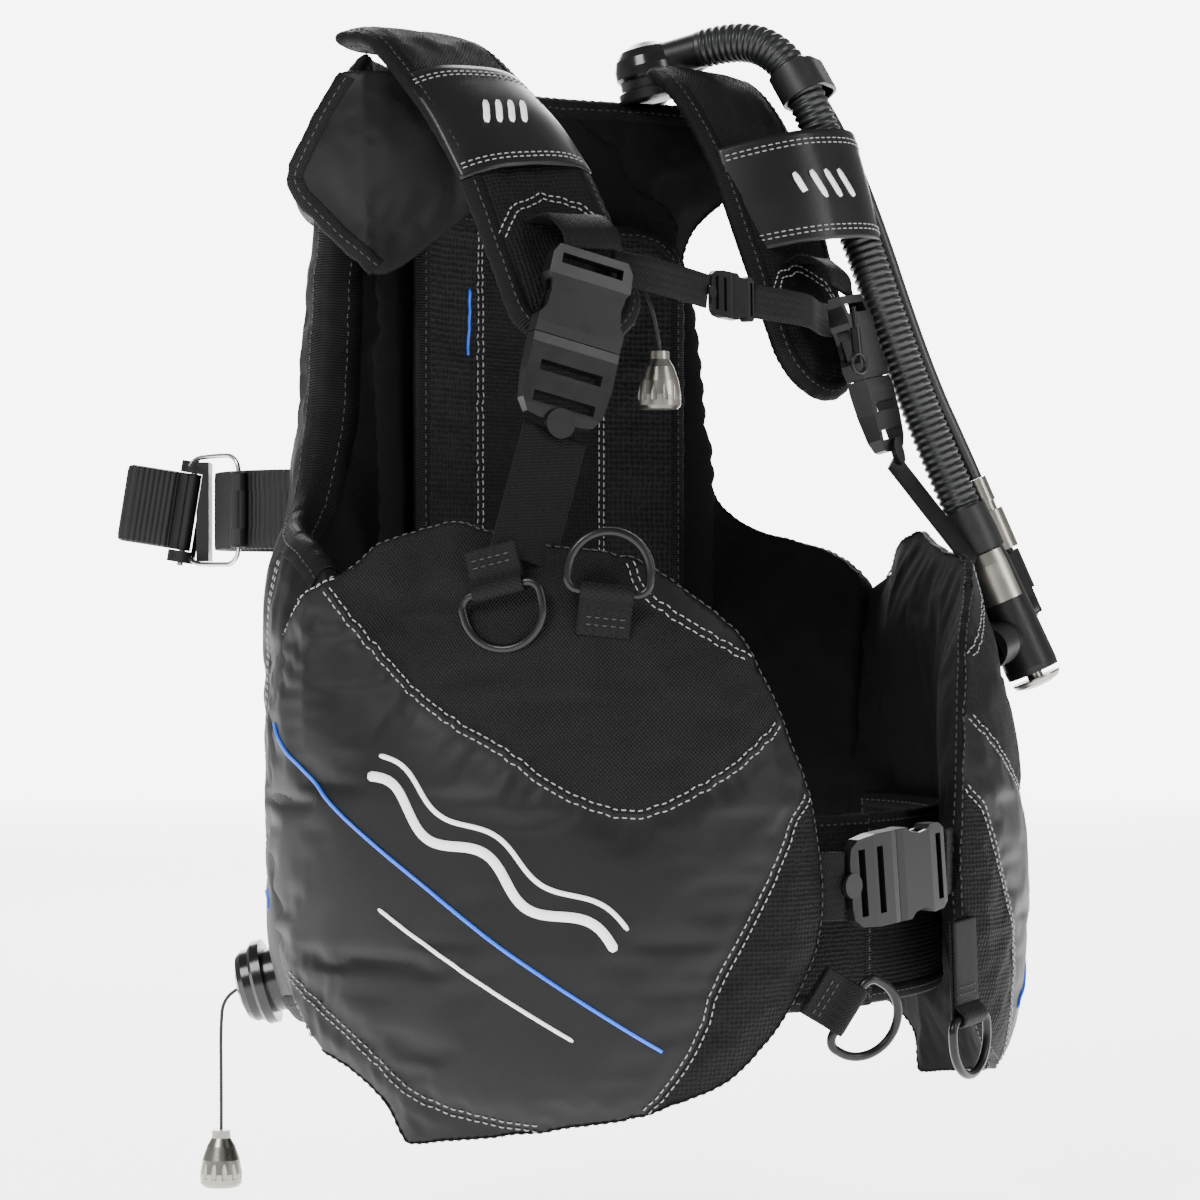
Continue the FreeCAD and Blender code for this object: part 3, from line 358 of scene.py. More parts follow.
def strap(name, stations, width, thick, material=None, body="jacket", spacing=0.003, closed=False,
          smooth=True):
    """A strap through stations of (point, across[, share]), in metres."""
    rows = [[*p, *a, *(rest or [1.0])] for p, a, *rest in stations]
    rows = through(rows, spacing) if smooth else np.array(rows, float)
    points, across, out = frames(rows, closed)
    section = strap_section(width, thick)
    ring = points[:, None] + across[:, None] * (section[None, :, :1] * rows[:, 6][:, None, None]) \
        + out[:, None] * section[None, :, 1:]
    return grid(name, ring, material or WEBBING, around=True, body=body, closed=closed), (points, across, out)


# ---------------------------------------------------------------- stitches
THREADS = {}


def stitch_rod(a, b, up, radius):
    """A short rounded stitch from a to b."""
    along = (b - a) / max(np.linalg.norm(b - a), 1e-9)
    side = np.cross(along, up)
    side /= max(np.linalg.norm(side), 1e-9)
    rise = np.cross(side, along)
    ring = []
    for t, r, lift in ((0, 0.35, -0.9), (0.18, 0.9, 0.1), (0.82, 0.9, 0.1), (1, 0.35, -0.9)):
        centre = a + (b - a) * t + rise * radius * lift
        for k in range(6):
            angle = k * math.pi / 3
            ring.append(centre + (side * math.cos(angle) + rise * math.sin(angle)) * radius * r)
    return ring


ROD_FACES = [(i * 6 + k, i * 6 + (k + 1) % 6, (i + 1) * 6 + (k + 1) % 6, (i + 1) * 6 + k)
             for i in range(3) for k in range(6)] + [(5, 4, 3, 2, 1, 0), (18, 19, 20, 21, 22, 23)]


def stitch(points, normals, material=None, body="jacket", pitch=0.0046, share=0.68, radius=0.00048):
    """Stitches along a line of surface points."""
    rows = np.concatenate([np.array(points, float), np.array(normals, float)], axis=1)
    rows = rows[np.isfinite(rows).all(axis=1)]
    reach = np.concatenate([[0], np.cumsum(np.linalg.norm(np.diff(rows[:, :3], axis=0), axis=1))])
    if reach[-1] < pitch:
        return
    starts = np.arange(pitch * 0.2, reach[-1] - pitch * share, pitch)
    verts, faces = THREADS.setdefault((material or THREAD, body), ([], []))
    for s in starts:
        a, b = (np.array([np.interp(x, reach, rows[:, k]) for k in range(6)]) for x in (s, s + pitch * share))
        base = len(verts)
        verts.extend(stitch_rod(a[:3], b[:3], a[3:], radius))
        faces.extend([tuple(base + i for i in face) for face in ROD_FACES])


def beside(points, normals, offset):
    """The line moved sideways over the surface."""
    points, normals = np.array(points, float), np.array(normals, float)
    side = np.cross(normals, np.gradient(points, axis=0))
    side /= np.linalg.norm(side, axis=1)[:, None] + 1e-12
    return points + side * offset, normals


def finish_threads():
    for n, ((material, body), (verts, faces)) in enumerate(THREADS.items()):
        build(f"stitching_{n}", verts, faces, [(v[0], v[2]) for v in verts], [material], body=body)


# ---------------------------------------------------------------- quilted pieces
def flat_pattern(loop, seams, spacing):
    """Vertices and triangles over a closed outline, with edges along its seams."""
    loop = evenly(np.concatenate([loop, loop[:1]]), spacing)[:-1]
    points, edges = list(loop), [(i, (i + 1) % len(loop)) for i in range(len(loop))]
    lines = [np.concatenate([loop, loop[:1]])]
    for seam in seams:
        row = evenly(seam, spacing)
        edges += [(len(points) + i, len(points) + i + 1) for i in range(len(row) - 1)]
        points += list(row)
        lines.append(row)
    low, high = loop.min(0), loop.max(0)
    fill = np.array([(u + (j % 2) * spacing / 2, v)
                     for j, v in enumerate(np.arange(low[1], high[1], spacing * 0.866))
                     for u in np.arange(low[0], high[0], spacing)])
    keep = inside(fill, loop)
    for line in lines:
        keep &= distance_to(fill, line) > spacing * 0.55
    points += list(fill[keep])
    verts, _, faces, *_ = geometry.delaunay_2d_cdt([Vector(p) for p in points], edges, [], 0, 1e-5)
    verts = np.array([tuple(v) for v in verts])
    faces = np.array([f for f in faces])
    return verts, faces[inside(verts[faces].mean(1), loop)]


def swell(piece, pinned, cap, pressure=4.0, slack=-0.02):
    """Fills a closed piece with air, holding its pinned vertices; no vertex moves further than cap."""
    scene = bpy.context.scene
    rest = coordinates(piece.data)
    group = piece.vertex_groups.new(name="pinned")
    group.add([int(i) for i in np.nonzero(pinned)[0]], 1.0, "REPLACE")
    cloth = piece.modifiers.new("swell", "CLOTH")
    cloth.settings.quality = 5
    cloth.settings.mass = 0.2
    cloth.settings.tension_stiffness = cloth.settings.compression_stiffness = 12
    cloth.settings.shear_stiffness = 5
    cloth.settings.bending_stiffness = 0.6
    cloth.settings.shrink_min = slack
    cloth.settings.use_pressure = True
    cloth.settings.uniform_pressure_force = pressure
    cloth.settings.vertex_group_mass = "pinned"
    cloth.settings.effector_weights.gravity = 0
    cloth.collision_settings.use_collision = False
    for number in range(1, 21):
        scene.frame_set(number)
    moved = coordinates(piece.evaluated_get(bpy.context.evaluated_depsgraph_get()).data) - rest
    piece.modifiers.remove(cloth)
    scene.frame_set(1)
    length = np.linalg.norm(moved, axis=1)[:, None] + 1e-12
    moved *= cap * np.tanh(length / cap) / length
    piece.data.vertices.foreach_set("co", (rest + moved).astype(np.float32).ravel())
    piece.vertex_groups.clear()


def coordinates(mesh):
    co = np.zeros(len(mesh.vertices) * 3, np.float32)
    mesh.vertices.foreach_get("co", co)
    return co.reshape(-1, 3).astype(float)


def subdivided(piece, levels=1):
    """The piece's mesh after smooth subdivision."""
    modifier = piece.modifiers.new("subdivide", "SUBSURF")
    modifier.levels = modifier.render_levels = levels
    modifier.uv_smooth = "NONE"
    mesh = bpy.data.meshes.new_from_object(piece.evaluated_get(bpy.context.evaluated_depsgraph_get()))
    piece.modifiers.remove(modifier)
    piece.data = mesh


class Skin:
    """Finds where a point of a flat pattern lies on the finished piece."""

    def __init__(self, mesh, low, high):
        """The faces from material low to high make up this side of the piece."""
        mesh.calc_loop_triangles()
        uv = mesh.uv_layers[0].data
        self.solid, self.flat, self.normals = [], [], []
        corners = []
        for tri in mesh.loop_triangles:
            a, b, c = (Vector(uv[loop].uv) for loop in tri.loops)
            if low <= tri.material_index <= high and abs((b - a).cross(c - a)) > 1e-10:
                start = len(self.flat)
                corners.append((start, start + 1, start + 2))
                for loop, vertex in zip(tri.loops, tri.vertices):
                    self.flat.append(Vector((*uv[loop].uv, 0)))
                    self.solid.append(mesh.vertices[vertex].co.copy())
                    self.normals.append(mesh.vertices[vertex].normal.copy())
        self.corners = corners
        self.tree = BVHTree.FromPolygons(self.flat, corners)

    def at(self, u, v, lift=0.0):
        """The place and outward direction at pattern point (u, v)."""
        hit, _, index, _ = self.tree.ray_cast(Vector((u, v, 1)), Vector((0, 0, -1)))
        if hit is None:
            hit, _, index, _ = self.tree.find_nearest(Vector((u, v, 0)))
        a, b, c = self.corners[index]
        flat = [self.flat[i] for i in (a, b, c)]
        place = geometry.barycentric_transform(hit, *flat, *[self.solid[i] for i in (a, b, c)])
        normal = geometry.barycentric_transform(hit, *flat, *[self.normals[i] for i in (a, b, c)])
        normal = np.array(normal) / max(normal.length, 1e-9)
        return np.array(place) + normal * lift, normal

    def line(self, pattern, lift=0.0, spacing=0.0015):
        """Places and directions along a line of the pattern."""
        found = [self.at(u, v, lift) for u, v in evenly(pattern, spacing)]
        return np.array([f[0] for f in found]), np.array([f[1] for f in found])


def quilt(name, node, loop, free, seams, place, thick, panel, materials, spacing=0.006, edge=0.004,
          pinch=0.05,
          lean=0.3, cap=0.008, soft=True, folds=0.0012, hold=None, adjust=None, join=0.0):
    """A padded piece: two skins over a flat pattern, thin at its free edges, filled between its seams.

    loop is the pattern's outline and free the part of it where the piece ends in a thin edge. place gives
    the outer skin's points and directions, thick the padding, panel the outer material of a pattern point.
    The last two of the materials are the inner skin's and the rim's.
    """
    flat, faces = flat_pattern(loop, seams, spacing)
    points, normals = place(flat[:, 0], flat[:, 1])
    normals /= np.linalg.norm(normals, axis=1)[:, None]
    depth = thick(flat[:, 0], flat[:, 1])
    near = np.min([distance_to(flat, line) for line in free], axis=0) if free else np.full(len(flat), 1.0)
    full = smoothstep(np.sqrt(np.clip(near / pinch, 0, 1)) * 0.97)
    loss = (depth - edge) * (1 - full)
    outer = points - normals * (loss * lean)[:, None]
    inner = points - normals * (depth - loss * (1 - lean))[:, None]
    # outward faces turn the same way as the directions
    a, b, c = (outer[faces[:, k]] for k in range(3))
    flip = np.einsum("ij,ij->i", np.cross(b - a, c - a), normals[faces[:, 0]]) < 0
    faces[flip] = faces[flip][:, ::-1]
    count = len(flat)
    used = {}
    for f in faces:
        for i, j in ((f[0], f[1]), (f[1], f[2]), (f[2], f[0])):
            used[(int(i), int(j))] = True
    rim = [(j, i, i + count, j + count) for i, j in used if (j, i) not in used]
    every = [list(f) for f in faces] + [list(f[::-1] + count) for f in faces] + rim
    middle = flat[faces].mean(1)
    chosen = [panel(u, v) for u, v in middle] + [len(materials) - 2] * len(faces) + [len(materials) - 1] * len(rim)
    uvs = np.concatenate([flat, flat])
    piece = build(name, np.concatenate([outer, inner]), every, uvs, materials, chosen)
    border = np.min([distance_to(flat, np.concatenate([loop, loop[:1]]))], axis=0)
    seam = np.min([distance_to(flat, line) for line in seams], axis=0) if seams else np.full(len(flat), 1.0)
    if soft:
        held = (border < 0.009) | (seam < 0.003)
        if hold is not None:
            held |= hold(flat[:, 0], flat[:, 1])
        swell(piece, np.concatenate([held, border < 0.009]), cap)
    co = coordinates(piece.data)
    free_of = smoothstep(border / 0.03)
    groove = -0.0011 * np.exp(-((seam - 0.0045) / 0.0025) ** 2) + 0.0006 * np.exp(-(seam / 0.0028) ** 4)
    ripple = np.array([noise.noise(Vector((u * 13, v * 13, 0))) + 0.5 * noise.noise(Vector((u * 31, v * 22,
                                                                                            3)))
                       for u, v in flat]) * folds * free_of
    if hold is not None:
        ripple *= 1 - hold(flat[:, 0], flat[:, 1])
    co[:count] += normals * (groove + ripple + join)[:, None]
    co[count:] += normals * (ripple[:, None] + join)
    if adjust is not None:
        co = adjust(co)
    piece.data.vertices.foreach_set("co", co.astype(np.float32).ravel())
    subdivided(piece)
    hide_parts(node)
    return piece, Skin(piece.data, 0, len(materials) - 3), Skin(piece.data, len(materials) - 2,
                                                                len(materials) - 2)


def bind(name, outer, inner, line, inward, width=0.012, lift=0.0008, material=None, thread=None):
    """Edge binding folded over a piece's edge; line is its pattern line and inward the turn that points inside."""
    line = evenly(line, 0.004)
    side = np.gradient(line, axis=0)
    side = np.stack([-side[:, 1], side[:, 0]], axis=1) * inward
    side /= np.linalg.norm(side, axis=1)[:, None]
    rows, top, low = [], [], []
    for p, m in zip(line, side):
        row = []
        for skin, steps in ((outer, (1.0, 0.96, 0.55, 0.12)), (inner, (0.12, 0.55, 0.96, 1.0))):
            for s in steps:
                q = p + m * width * s
                place, normal = skin.at(*q, lift if s < 0.98 else -0.0004)
                row.append(place)
                if s == 0.55:
                    (top if skin is outer else low).append((place, normal))
        middle = (row[3] + row[4]) / 2
        tip = middle + (middle - (row[2] + row[5]) / 2) * 0.42
        reach = (tip - middle)
        row.insert(4, row[3] * 0.5 + middle * 0.5 + reach * 0.75)
        row.insert(5, tip)
        row.insert(6, row[6] * 0.5 + middle * 0.5 + reach * 0.75)
        rows.append(row)
    made = grid(name, rows, material or BINDING)
    for found in (top, low):
        places, normals = (np.array([f[k] for f in found]) for k in (0, 1))
        stitch(places, normals, thread or DARK_THREAD, pitch=0.0052)
    return made


def double_stitch(skin, line, gap=0.0042, material=None):
    """Two rows of stitches beside a seam."""
    points, normals = skin.line(line)
    for offset in (-gap / 2, gap / 2):
        moved, up = beside(points, normals, offset)
        stitch(moved + up * 0.0003, up, material)


def cordlet(name, points, radius, material, body="jacket", sides=8):
    """A thin round strip along points."""
    points = np.array(points, float)
    along = np.gradient(points, axis=0)
    along /= np.linalg.norm(along, axis=1)[:, None]
    side = np.cross(along, (0.13, 0.21, 0.97))
    side /= np.linalg.norm(side, axis=1)[:, None]
    up = np.cross(side, along)
    angles = np.arange(sides) * 2 * math.pi / sides
    ring = points[:, None] + radius * (side[:, None] * np.cos(angles)[None, :, None]
                                       + up[:, None] * np.sin(angles)[None, :, None])
    return grid(name, ring, material, around=True, body=body)


# ---------------------------------------------------------------- lobes and bladder
LOBE_LEVELS = np.array([(-306, 0.92, 0.45), (-270, 0.98, 0.9), (-190, 1.0, 1.0), (-110, 0.99, 1.0),
                        (-50, 0.95, 0.9), (0, 0.905, 0.65), (50, 0.87, 0.4)])
BLADDER_LEVELS = np.array([(-290, 0.93, 0.5), (-250, 0.99, 1.0), (-120, 1.0, 1.0), (80, 1.0, 1.0),
                           (190, 0.98, 0.9), (240, 0.94, 0.8), (290, 0.86, 0.7), (323, 0.78, 0.6)])


def pattern(points):
    """Pattern metres from (degrees from the front, mm above the torso's centre)."""
    return np.array([(math.radians(turn) * ARC, z / 1000) for turn, z in points])


def round_torso(side, u, share, out=0.0):
    """Points of the torso's ellipse at pattern distance u, scaled by a share."""
    angle = u / ARC
    wide = 245 * share
    deep = np.where(np.cos(angle) > 0, 213, 190) * share
    x, y = side * wide * np.sin(angle), np.minimum(-deep * np.cos(angle), 150 + out * 1000)
    flat_back = y >= 150
    nx = np.where(flat_back, 0, side * np.sin(angle) / wide)
    ny = np.where(flat_back, 1 / deep, -np.cos(angle) / deep)
    return x, y, np.stack([nx, ny, np.zeros_like(nx)], axis=1)


def skin_points(x, y, height):
    """Points in the row's frame, in metres, from millimetres round the torso's axis."""
    return np.stack([x, y - 255, height - 57], axis=1) / 1000


def lobe_place(side):
    """Where a lobe's pattern lies on the torso; behind the side seam it follows the air cell."""
    def place(u, v):
        height = v * 1000
        share = np.interp(height, LOBE_LEVELS[:, 0], LOBE_LEVELS[:, 1])
        behind = smoothstep((np.degrees(u / ARC) - 78) / 20)
        share += (np.interp(height, BLADDER_LEVELS[:, 0], BLADDER_LEVELS[:, 1]) + 0.008 - share) * behind
        x, y, normals = round_torso(side, u, share)
        return skin_points(x, y, height), normals
    return place


def lobe_thick(u, v):
    """A lobe's thickness at pattern points."""
    return np.interp(v * 1000, LOBE_LEVELS[:, 0], LOBE_LEVELS[:, 2]) * 0.034


FRONT_EDGE = [(89.5, 18), (86, 32), (79, 40), (73, 44), (64.5, 36), (56, 30), (47.5, 27), (41.5, 22),
              (32.5, 0),
              (26, -19), (23.5, -37), (21, -55), (19, -77), (16.5, -104), (15, -137), (14.4, -165),
              (15.4, -189),
              (17.3, -208), (20.4, -229), (25, -250), (29, -263), (33.5, -270), (42, -281), (59, -290),
              (71, -296),
              (80, -300), (82, -278), (90, -259), (97, -252)]
REAR_EDGE = [(97, -252), (103, -225), (110, -196), (116, -166), (118, -135), (118, -100), (115, -57),
             (106, -20),
             (97, 6), (89.5, 18)]
SEAMS = {
    "mesh": [(93, 6), (85, -25), (77, -49), (68.5, -68), (61, -83), (55, -99), (49, -110), (42, -116),
             (35, -105),
             (28, -89), (20.5, -66)],
    "corner": [(43.5, 23), (41.5, 5), (37, -8), (31, -21), (24.5, -33)],
    "front": [(16.5, -107), (19.5, -119), (23, -147), (27, -176), (31, -205), (35, -248), (41, -279)],
    "lower": [(103, -210), (88, -237), (77, -267), (68.5, -279), (56, -288)],
}


def lobe_panel(u, v):
    """Which cloth a lobe has at a pattern point: 0 cordura, 1 coated, 2 open mesh, 3 smooth."""
    turn, z = math.degrees(u / ARC), v * 1000
    mesh, corner, front, lower = (np.array(SEAMS[k]) for k in ("mesh", "corner", "front", "lower"))
    if z > np.interp(turn, mesh[::-1, 0], mesh[::-1, 1]):
        return 3 if z > -40 and turn < np.interp(z, corner[::-1, 1], corner[::-1, 0]) else 0
    if turn < np.interp(z, front[::-1, 1], front[::-1, 0]) and z < -107:
        return 2
    if z < np.interp(turn, lower[::-1, 0], lower[::-1, 1]) and turn > 56:
        return 3
    return 1


INFLATOR = (Vector((0.218, -0.36, -0.065)), Vector((-0.959, -0.083, -0.270)), Vector((-0.283, 0.283, 0.917)))


def clear_of(points, a, b, radius):
    """Points pushed out of a round bar from a to b."""
    a, b = np.array(a), np.array(b)
    ab = b - a
    t = np.clip(((points - a) @ ab) / (ab @ ab), 0, 1)
    off = points - a - t[:, None] * ab
    far = np.linalg.norm(off, axis=1)
    push = np.clip(radius - far, 0, None)
    return points + off / (far[:, None] + 1e-9) * push[:, None]


def lobe(side):
    """One padded waist lobe with its bound front edge and its seams; gives its outer skin."""
    name = NAMES[side] + "_lobe"
    loop = pattern(through([(*p, 0) for p in FRONT_EDGE], 12)[:, :2])
    rear = pattern(through([(*p, 0) for p in REAR_EDGE], 12)[:, :2])
    outline = np.concatenate([loop, rear[1:-1]])
    seams = {key: pattern(through([(*p, 0) for p in line], 6)[:, :2]) for key, line in SEAMS.items()}

    body, out, up = INFLATOR
    centre = np.array(body)

    def beside_inflator(u, v):
        points, _ = lobe_place(side)(u, v)
        return np.linalg.norm(points - centre, axis=1) < 0.075

    def adjust(points):
        """Dents the skin where the inflator hangs against it."""
        if side == RIGHT:
            return points
        near = 1 - smoothstep((np.linalg.norm(points - centre, axis=1) - 0.03) / 0.06)
        inward = np.array((-0.75, 0.66, 0))
        points = points + inward * (near * 0.014)[:, None]
        points = clear_of(points, body - up * 0.046, body + up * 0.09, 0.021)
        return clear_of(points, body - up * 0.014, body - up * 0.014 + out * 0.045, 0.021)

    piece, outer, inner = quilt(
        name + "_shell", name, outline, [loop], list(seams.values()), lobe_place(side), lobe_thick,
        lobe_panel,
        [CORDURA, COATED, MESH, SMOOTH, LINING, BINDING], adjust=adjust, join=0.0004,
        hold=beside_inflator if side == LEFT else None)
    bind(name + "_binding", outer, inner, loop, -1, width=0.016)
    if side == RIGHT:
        points, normals = outer.line(pattern([(115.6, -187), (115.6, -176), (115.6, -165)]), 0.001)
        flat_mark("plain_tag", points, normals, 0.011, PIPING, thick=0.0008)
    for line in seams.values():
        double_stitch(outer, line)
    double_stitch(outer, evenly(rear, 0.004)[2:-2])
    return outer


ARMHOLE = [(128, 34), (86, 44), (55, 61), (37, 95), (30, 121), (25, 170), (24, 212), (34, 240), (62, 264),
           (70, 290), (67, 318)]


def bladder_front():
    """The air cell's front edge, as (degrees from the front, mm): the hem, the side, the armhole."""
    line = [(160, -285), (148, -270), (135, -254), (122, -244), (108, -238), (97, -243)]
    line += [(95, z) for z in (-200, -100, 0)] + [(98, 18)]
    for w, z in ARMHOLE:
        share = float(np.interp(z, BLADDER_LEVELS[:, 0], BLADDER_LEVELS[:, 1]))
        reach = share * math.hypot(245, 190) * math.sqrt(0.5)
        line.append((math.degrees(math.atan2(245, 190) + math.acos(w / reach)), z))
    return line


def bladder():
    """The back air cell, from the front of one side wall round the back to the other."""
    front = through([(*p, 0) for p in bladder_front()], 8)[:, :2]
    right = pattern(front)
    left = np.stack([ROUND - right[::-1, 0], right[::-1, 1]], axis=1)
    loop = np.concatenate([right, left])
    edges = []
    for part in (front[front[:, 1] > 16], front[(front[:, 1] < -230) & (front[:, 0] > 96)]):
        line = pattern(part)
        edges += [line, np.stack([ROUND - line[::-1, 0], line[::-1, 1]], axis=1)]
    top = np.array([right[-1], left[0]])
    bottom = np.array([left[-1], right[0]])

    def place(u, v):
        height = v * 1000
        share = np.interp(height, BLADDER_LEVELS[:, 0], BLADDER_LEVELS[:, 1])
        x, y, normals = round_torso(RIGHT, u, share)
        return skin_points(x, y, height), normals

    def thick(u, v):
        turn = np.degrees(u / ARC)
        turn = np.where(turn > 180, 360 - turn, turn)
        walls = 0.036 + (0.078 - 0.036) * smoothstep((turn - 115) / 35)
        share, wall = (np.interp(v * 1000, BLADDER_LEVELS[:, 0], BLADDER_LEVELS[:, k]) for k in (1, 2))
        behind_plate = np.clip(-190 * share * np.cos(np.radians(turn)) - 150, 0, None) / 1000
        return walls * wall - behind_plate

    def hold(u, v):
        """The places where the plate, the valves and the elbow sit flat."""
        points, _ = place(u, v)
        spots = [(torso(-182, 127.5, -224), 0.04), (torso(-112, 150.6, 248), 0.04)]
        held = (np.abs(points[:, 0]) < 0.095) & (points[:, 1] > -0.13) & (np.abs(points[:, 2]) < 0.2)
        for spot, reach in spots:
            held |= np.linalg.norm(points - spot, axis=1) < reach
        return held

    side_seam = pattern([(123, -236), (122, -160), (121, -100), (119, -40), (115, 24)])
    far_seam = np.stack([ROUND - side_seam[:, 0], side_seam[:, 1]], axis=1)
    piece, outer, inner = quilt(
        "bladder_shell", "back_bladder", loop, edges + [top, bottom], [side_seam, far_seam], place, thick,
        lambda u, v: 0, [SMOOTH, LINING, BINDING], spacing=0.009, edge=0.006, pinch=0.06, lean=0.45,
        cap=0.006,
        hold=hold)
    for n, line in enumerate(edges + [top]):
        bind(f"bladder_binding_{n}", outer, inner, line, 1 if n in (1, 3) else -1, width=0.014)
    for line in (side_seam, far_seam):
        double_stitch(outer, line)


# ---------------------------------------------------------------- ribbon pads
def ribbon_pad(name, node, stations, width, thick, materials, panel, seams, round_end, hold):
    """A padded strap through stations of (point, across, share); its pattern is across and along."""
    rows = through([[*p, *a, s] for p, a, s in stations], 0.004)
    points, across, out = frames(rows)
    if np.mean(out[:, 1]) > 0:
        out = -out
    reach = np.concatenate([[0], np.cumsum(np.linalg.norm(np.diff(points, axis=0), axis=1))])
    tip = np.clip((reach[-1] - reach) / round_end, 0, 1)
    half = rows[:, 6] * width / 2 * np.sqrt(np.clip(1 - (1 - tip) ** 2, 0.02, 1))
    edge_right = np.stack([half, reach], axis=1)
    edge_left = np.stack([-half, reach], axis=1)[::-1]
    loop = np.concatenate([edge_right, edge_left])

    def place(u, v):
        at = [np.interp(v, reach, column) for column in np.concatenate([points, across, out], axis=1).T]
        at = np.stack(at, axis=1)
        return at[:, :3] + at[:, 3:6] * u[:, None] + at[:, 6:] * thick / 2, at[:, 6:].copy()

    _, outer, inner = quilt(name, node, loop, [loop, edge_left], seams, place,
                            lambda u, v: np.full(len(u), thick), panel, materials, spacing=0.006, edge=0.004,
                            pinch=0.02, lean=0.5, cap=0.004, folds=0.0005, hold=hold)
    bind(name + "_binding", outer, inner, loop[2:-2], 1, width=0.01)
    return outer


PAD_ROUTE = {
    RIGHT: [(-118, 98, 330.8, 0, 1), (-118, 62, 325, 3, 1.08), (-118, 31, 301, 6, 1.1),
            (-118, 4, 275, 10, 1.08),
            (-118, -22, 242, 14, 1.05), (-119, -49, 195, 19, 1.02), (-120, -66, 162, 21, 0.98),
            (-120, -76, 140, 21, 0.9)],
    LEFT: [(114, 66, 330.8, 0, 1), (113, 44, 318, 1, 1.08), (112, 22, 292, 2, 1.1), (112, 5, 262, 3, 1.08),
           (111, -11, 225, 4, 1.05), (109, -30, 180, 6, 1), (108, -44, 145, 8, 0.96),
           (108, -51, 122, 8, 0.88)],
}


def shoulder_pad(side):
    """One quilted shoulder pad with its curved cross seam."""
    name = NAMES[side] + "_shoulder_pad"
    stations = [(torso(x, y, z), (math.cos(math.radians(yaw)), side * math.sin(math.radians(yaw)), 0), share)
                for x, y, z, yaw, share in PAD_ROUTE[side]]
    crown = 0.174 if side == RIGHT else 0.16
    arcs = [np.array([(-0.034, crown + 0.024), (-0.022, crown + 0.008), (0, crown), (0.022, crown + 0.008),
                      (0.034, crown + 0.024)])]
    outer = ribbon_pad(name + "_quilt", name, stations, 0.084, 0.014, [MESH, CORDURA, LINING, BINDING],
                       lambda u, v: 0 if v > crown - 0.06 else 1, arcs, 0.03,
                       lambda u, v: (v > 0.055) & (v < 0.155))
    for line in arcs:
        double_stitch(outer, line)


SLEEVES = {
    RIGHT: [((-0.11872, -0.23084, 0.25193), (0.995, -0.105, 0), 1.06),
            ((-0.11937, -0.25874, 0.22496), (0.985, -0.174, 0), 1.06),
            ((-0.12013, -0.28556, 0.1907), (0.97, -0.242, 0), 1.06)],
    LEFT: [((0.119, -0.284, 0.233), (1, -0.16, 0), 1.26), ((0.121, -0.294, 0.199), (1, -0.16, 0), 1.26),
           ((0.123, -0.302, 0.165), (1, -0.16, 0), 1.26)],
}
# how far each sleeve's two edges wrap back, in metres, and how late they turn
SLEEVE_WRAP = {RIGHT: ((0.010, 3.0), (0.010, 3.0)), LEFT: ((0.030, 1.7), (0.024, 3.6))}


def sleeve(side):
    """The smooth sleeve over a shoulder pad, wrapped back at its edges, with stitched ends and a mark."""
    rows = through([[*p, *a, s] for p, a, s in SLEEVES[side]], 0.003)
    points, across, out = frames(rows)
    if out[0][1] > 0:
        out = -out
    half = 0.042 * rows[:, 6]
    steps = np.linspace(-1, 1, 41)
    (low, early), (high, late) = SLEEVE_WRAP[side]
    wrap = np.where(steps < 0, low * np.abs(steps) ** early, high * np.abs(steps) ** late)
    middle = (points[:, None] + across[:, None] * (half[:, None] * steps)[..., None]
              - out[:, None] * wrap[None, :, None])
    tilt = np.gradient(middle, axis=1)
    up = np.cross(np.gradient(middle, axis=0), tilt)
    up /= np.linalg.norm(up, axis=2)[..., None]
    if np.mean(np.einsum("ijk,ik->ij", up, out)) < 0:
        up = -up
    middle += up * 0.0012
    ring = np.concatenate([middle + up * 0.0011, (middle - up * 0.0011)[:, ::-1]], axis=1)
    made = grid(NAMES[side] + "_sleeve", ring, SLEEVE, around=True)
    last = len(points) - 1
    for at in (2, 3, last - 3, last - 2):
        stitch(middle[at, 1:-1] + up[at, 1:-1] * 0.0013, up[at, 1:-1])
    centre = last // 2
    for n, column in enumerate((14, 18, 22, 26)):
        line = middle[centre - 3:centre + 4, column] + across[centre - 3:centre + 4] \
            * (np.linspace(-0.004, 0.004, 7) * side)[:, None]
        normal = up[centre - 3:centre + 4, column]
        flat_mark(f"{NAMES[side]}_sleeve_mark_{n}", line + normal * 0.0013, normal, 0.0042, PRINT)
    return made


def sleeves():
    """Both smooth sleeves, which stand for one CAD node."""
    for side in (RIGHT, LEFT):
        made = sleeve(side)
    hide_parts("strap_sleeves")


def flat_mark(name, points, normals, width, material, thick=0.0004):
    """A thin raised strip along surface points, such as a printed line."""
    points, normals = np.array(points, float), np.array(normals, float)
    side = np.cross(normals, np.gradient(points, axis=0))
    side /= np.linalg.norm(side, axis=1)[:, None] + 1e-12
    taper = np.ones(len(points))
    taper[0] = taper[-1] = 0.55
    half = side * (width / 2 * taper)[:, None]
    rows = np.stack([points - half - normals * thick, points - half * 0.9 + normals * thick,
                     points + half * 0.9 + normals * thick, points + half - normals * thick], axis=1)
    return grid(name, rows, material, around=True)


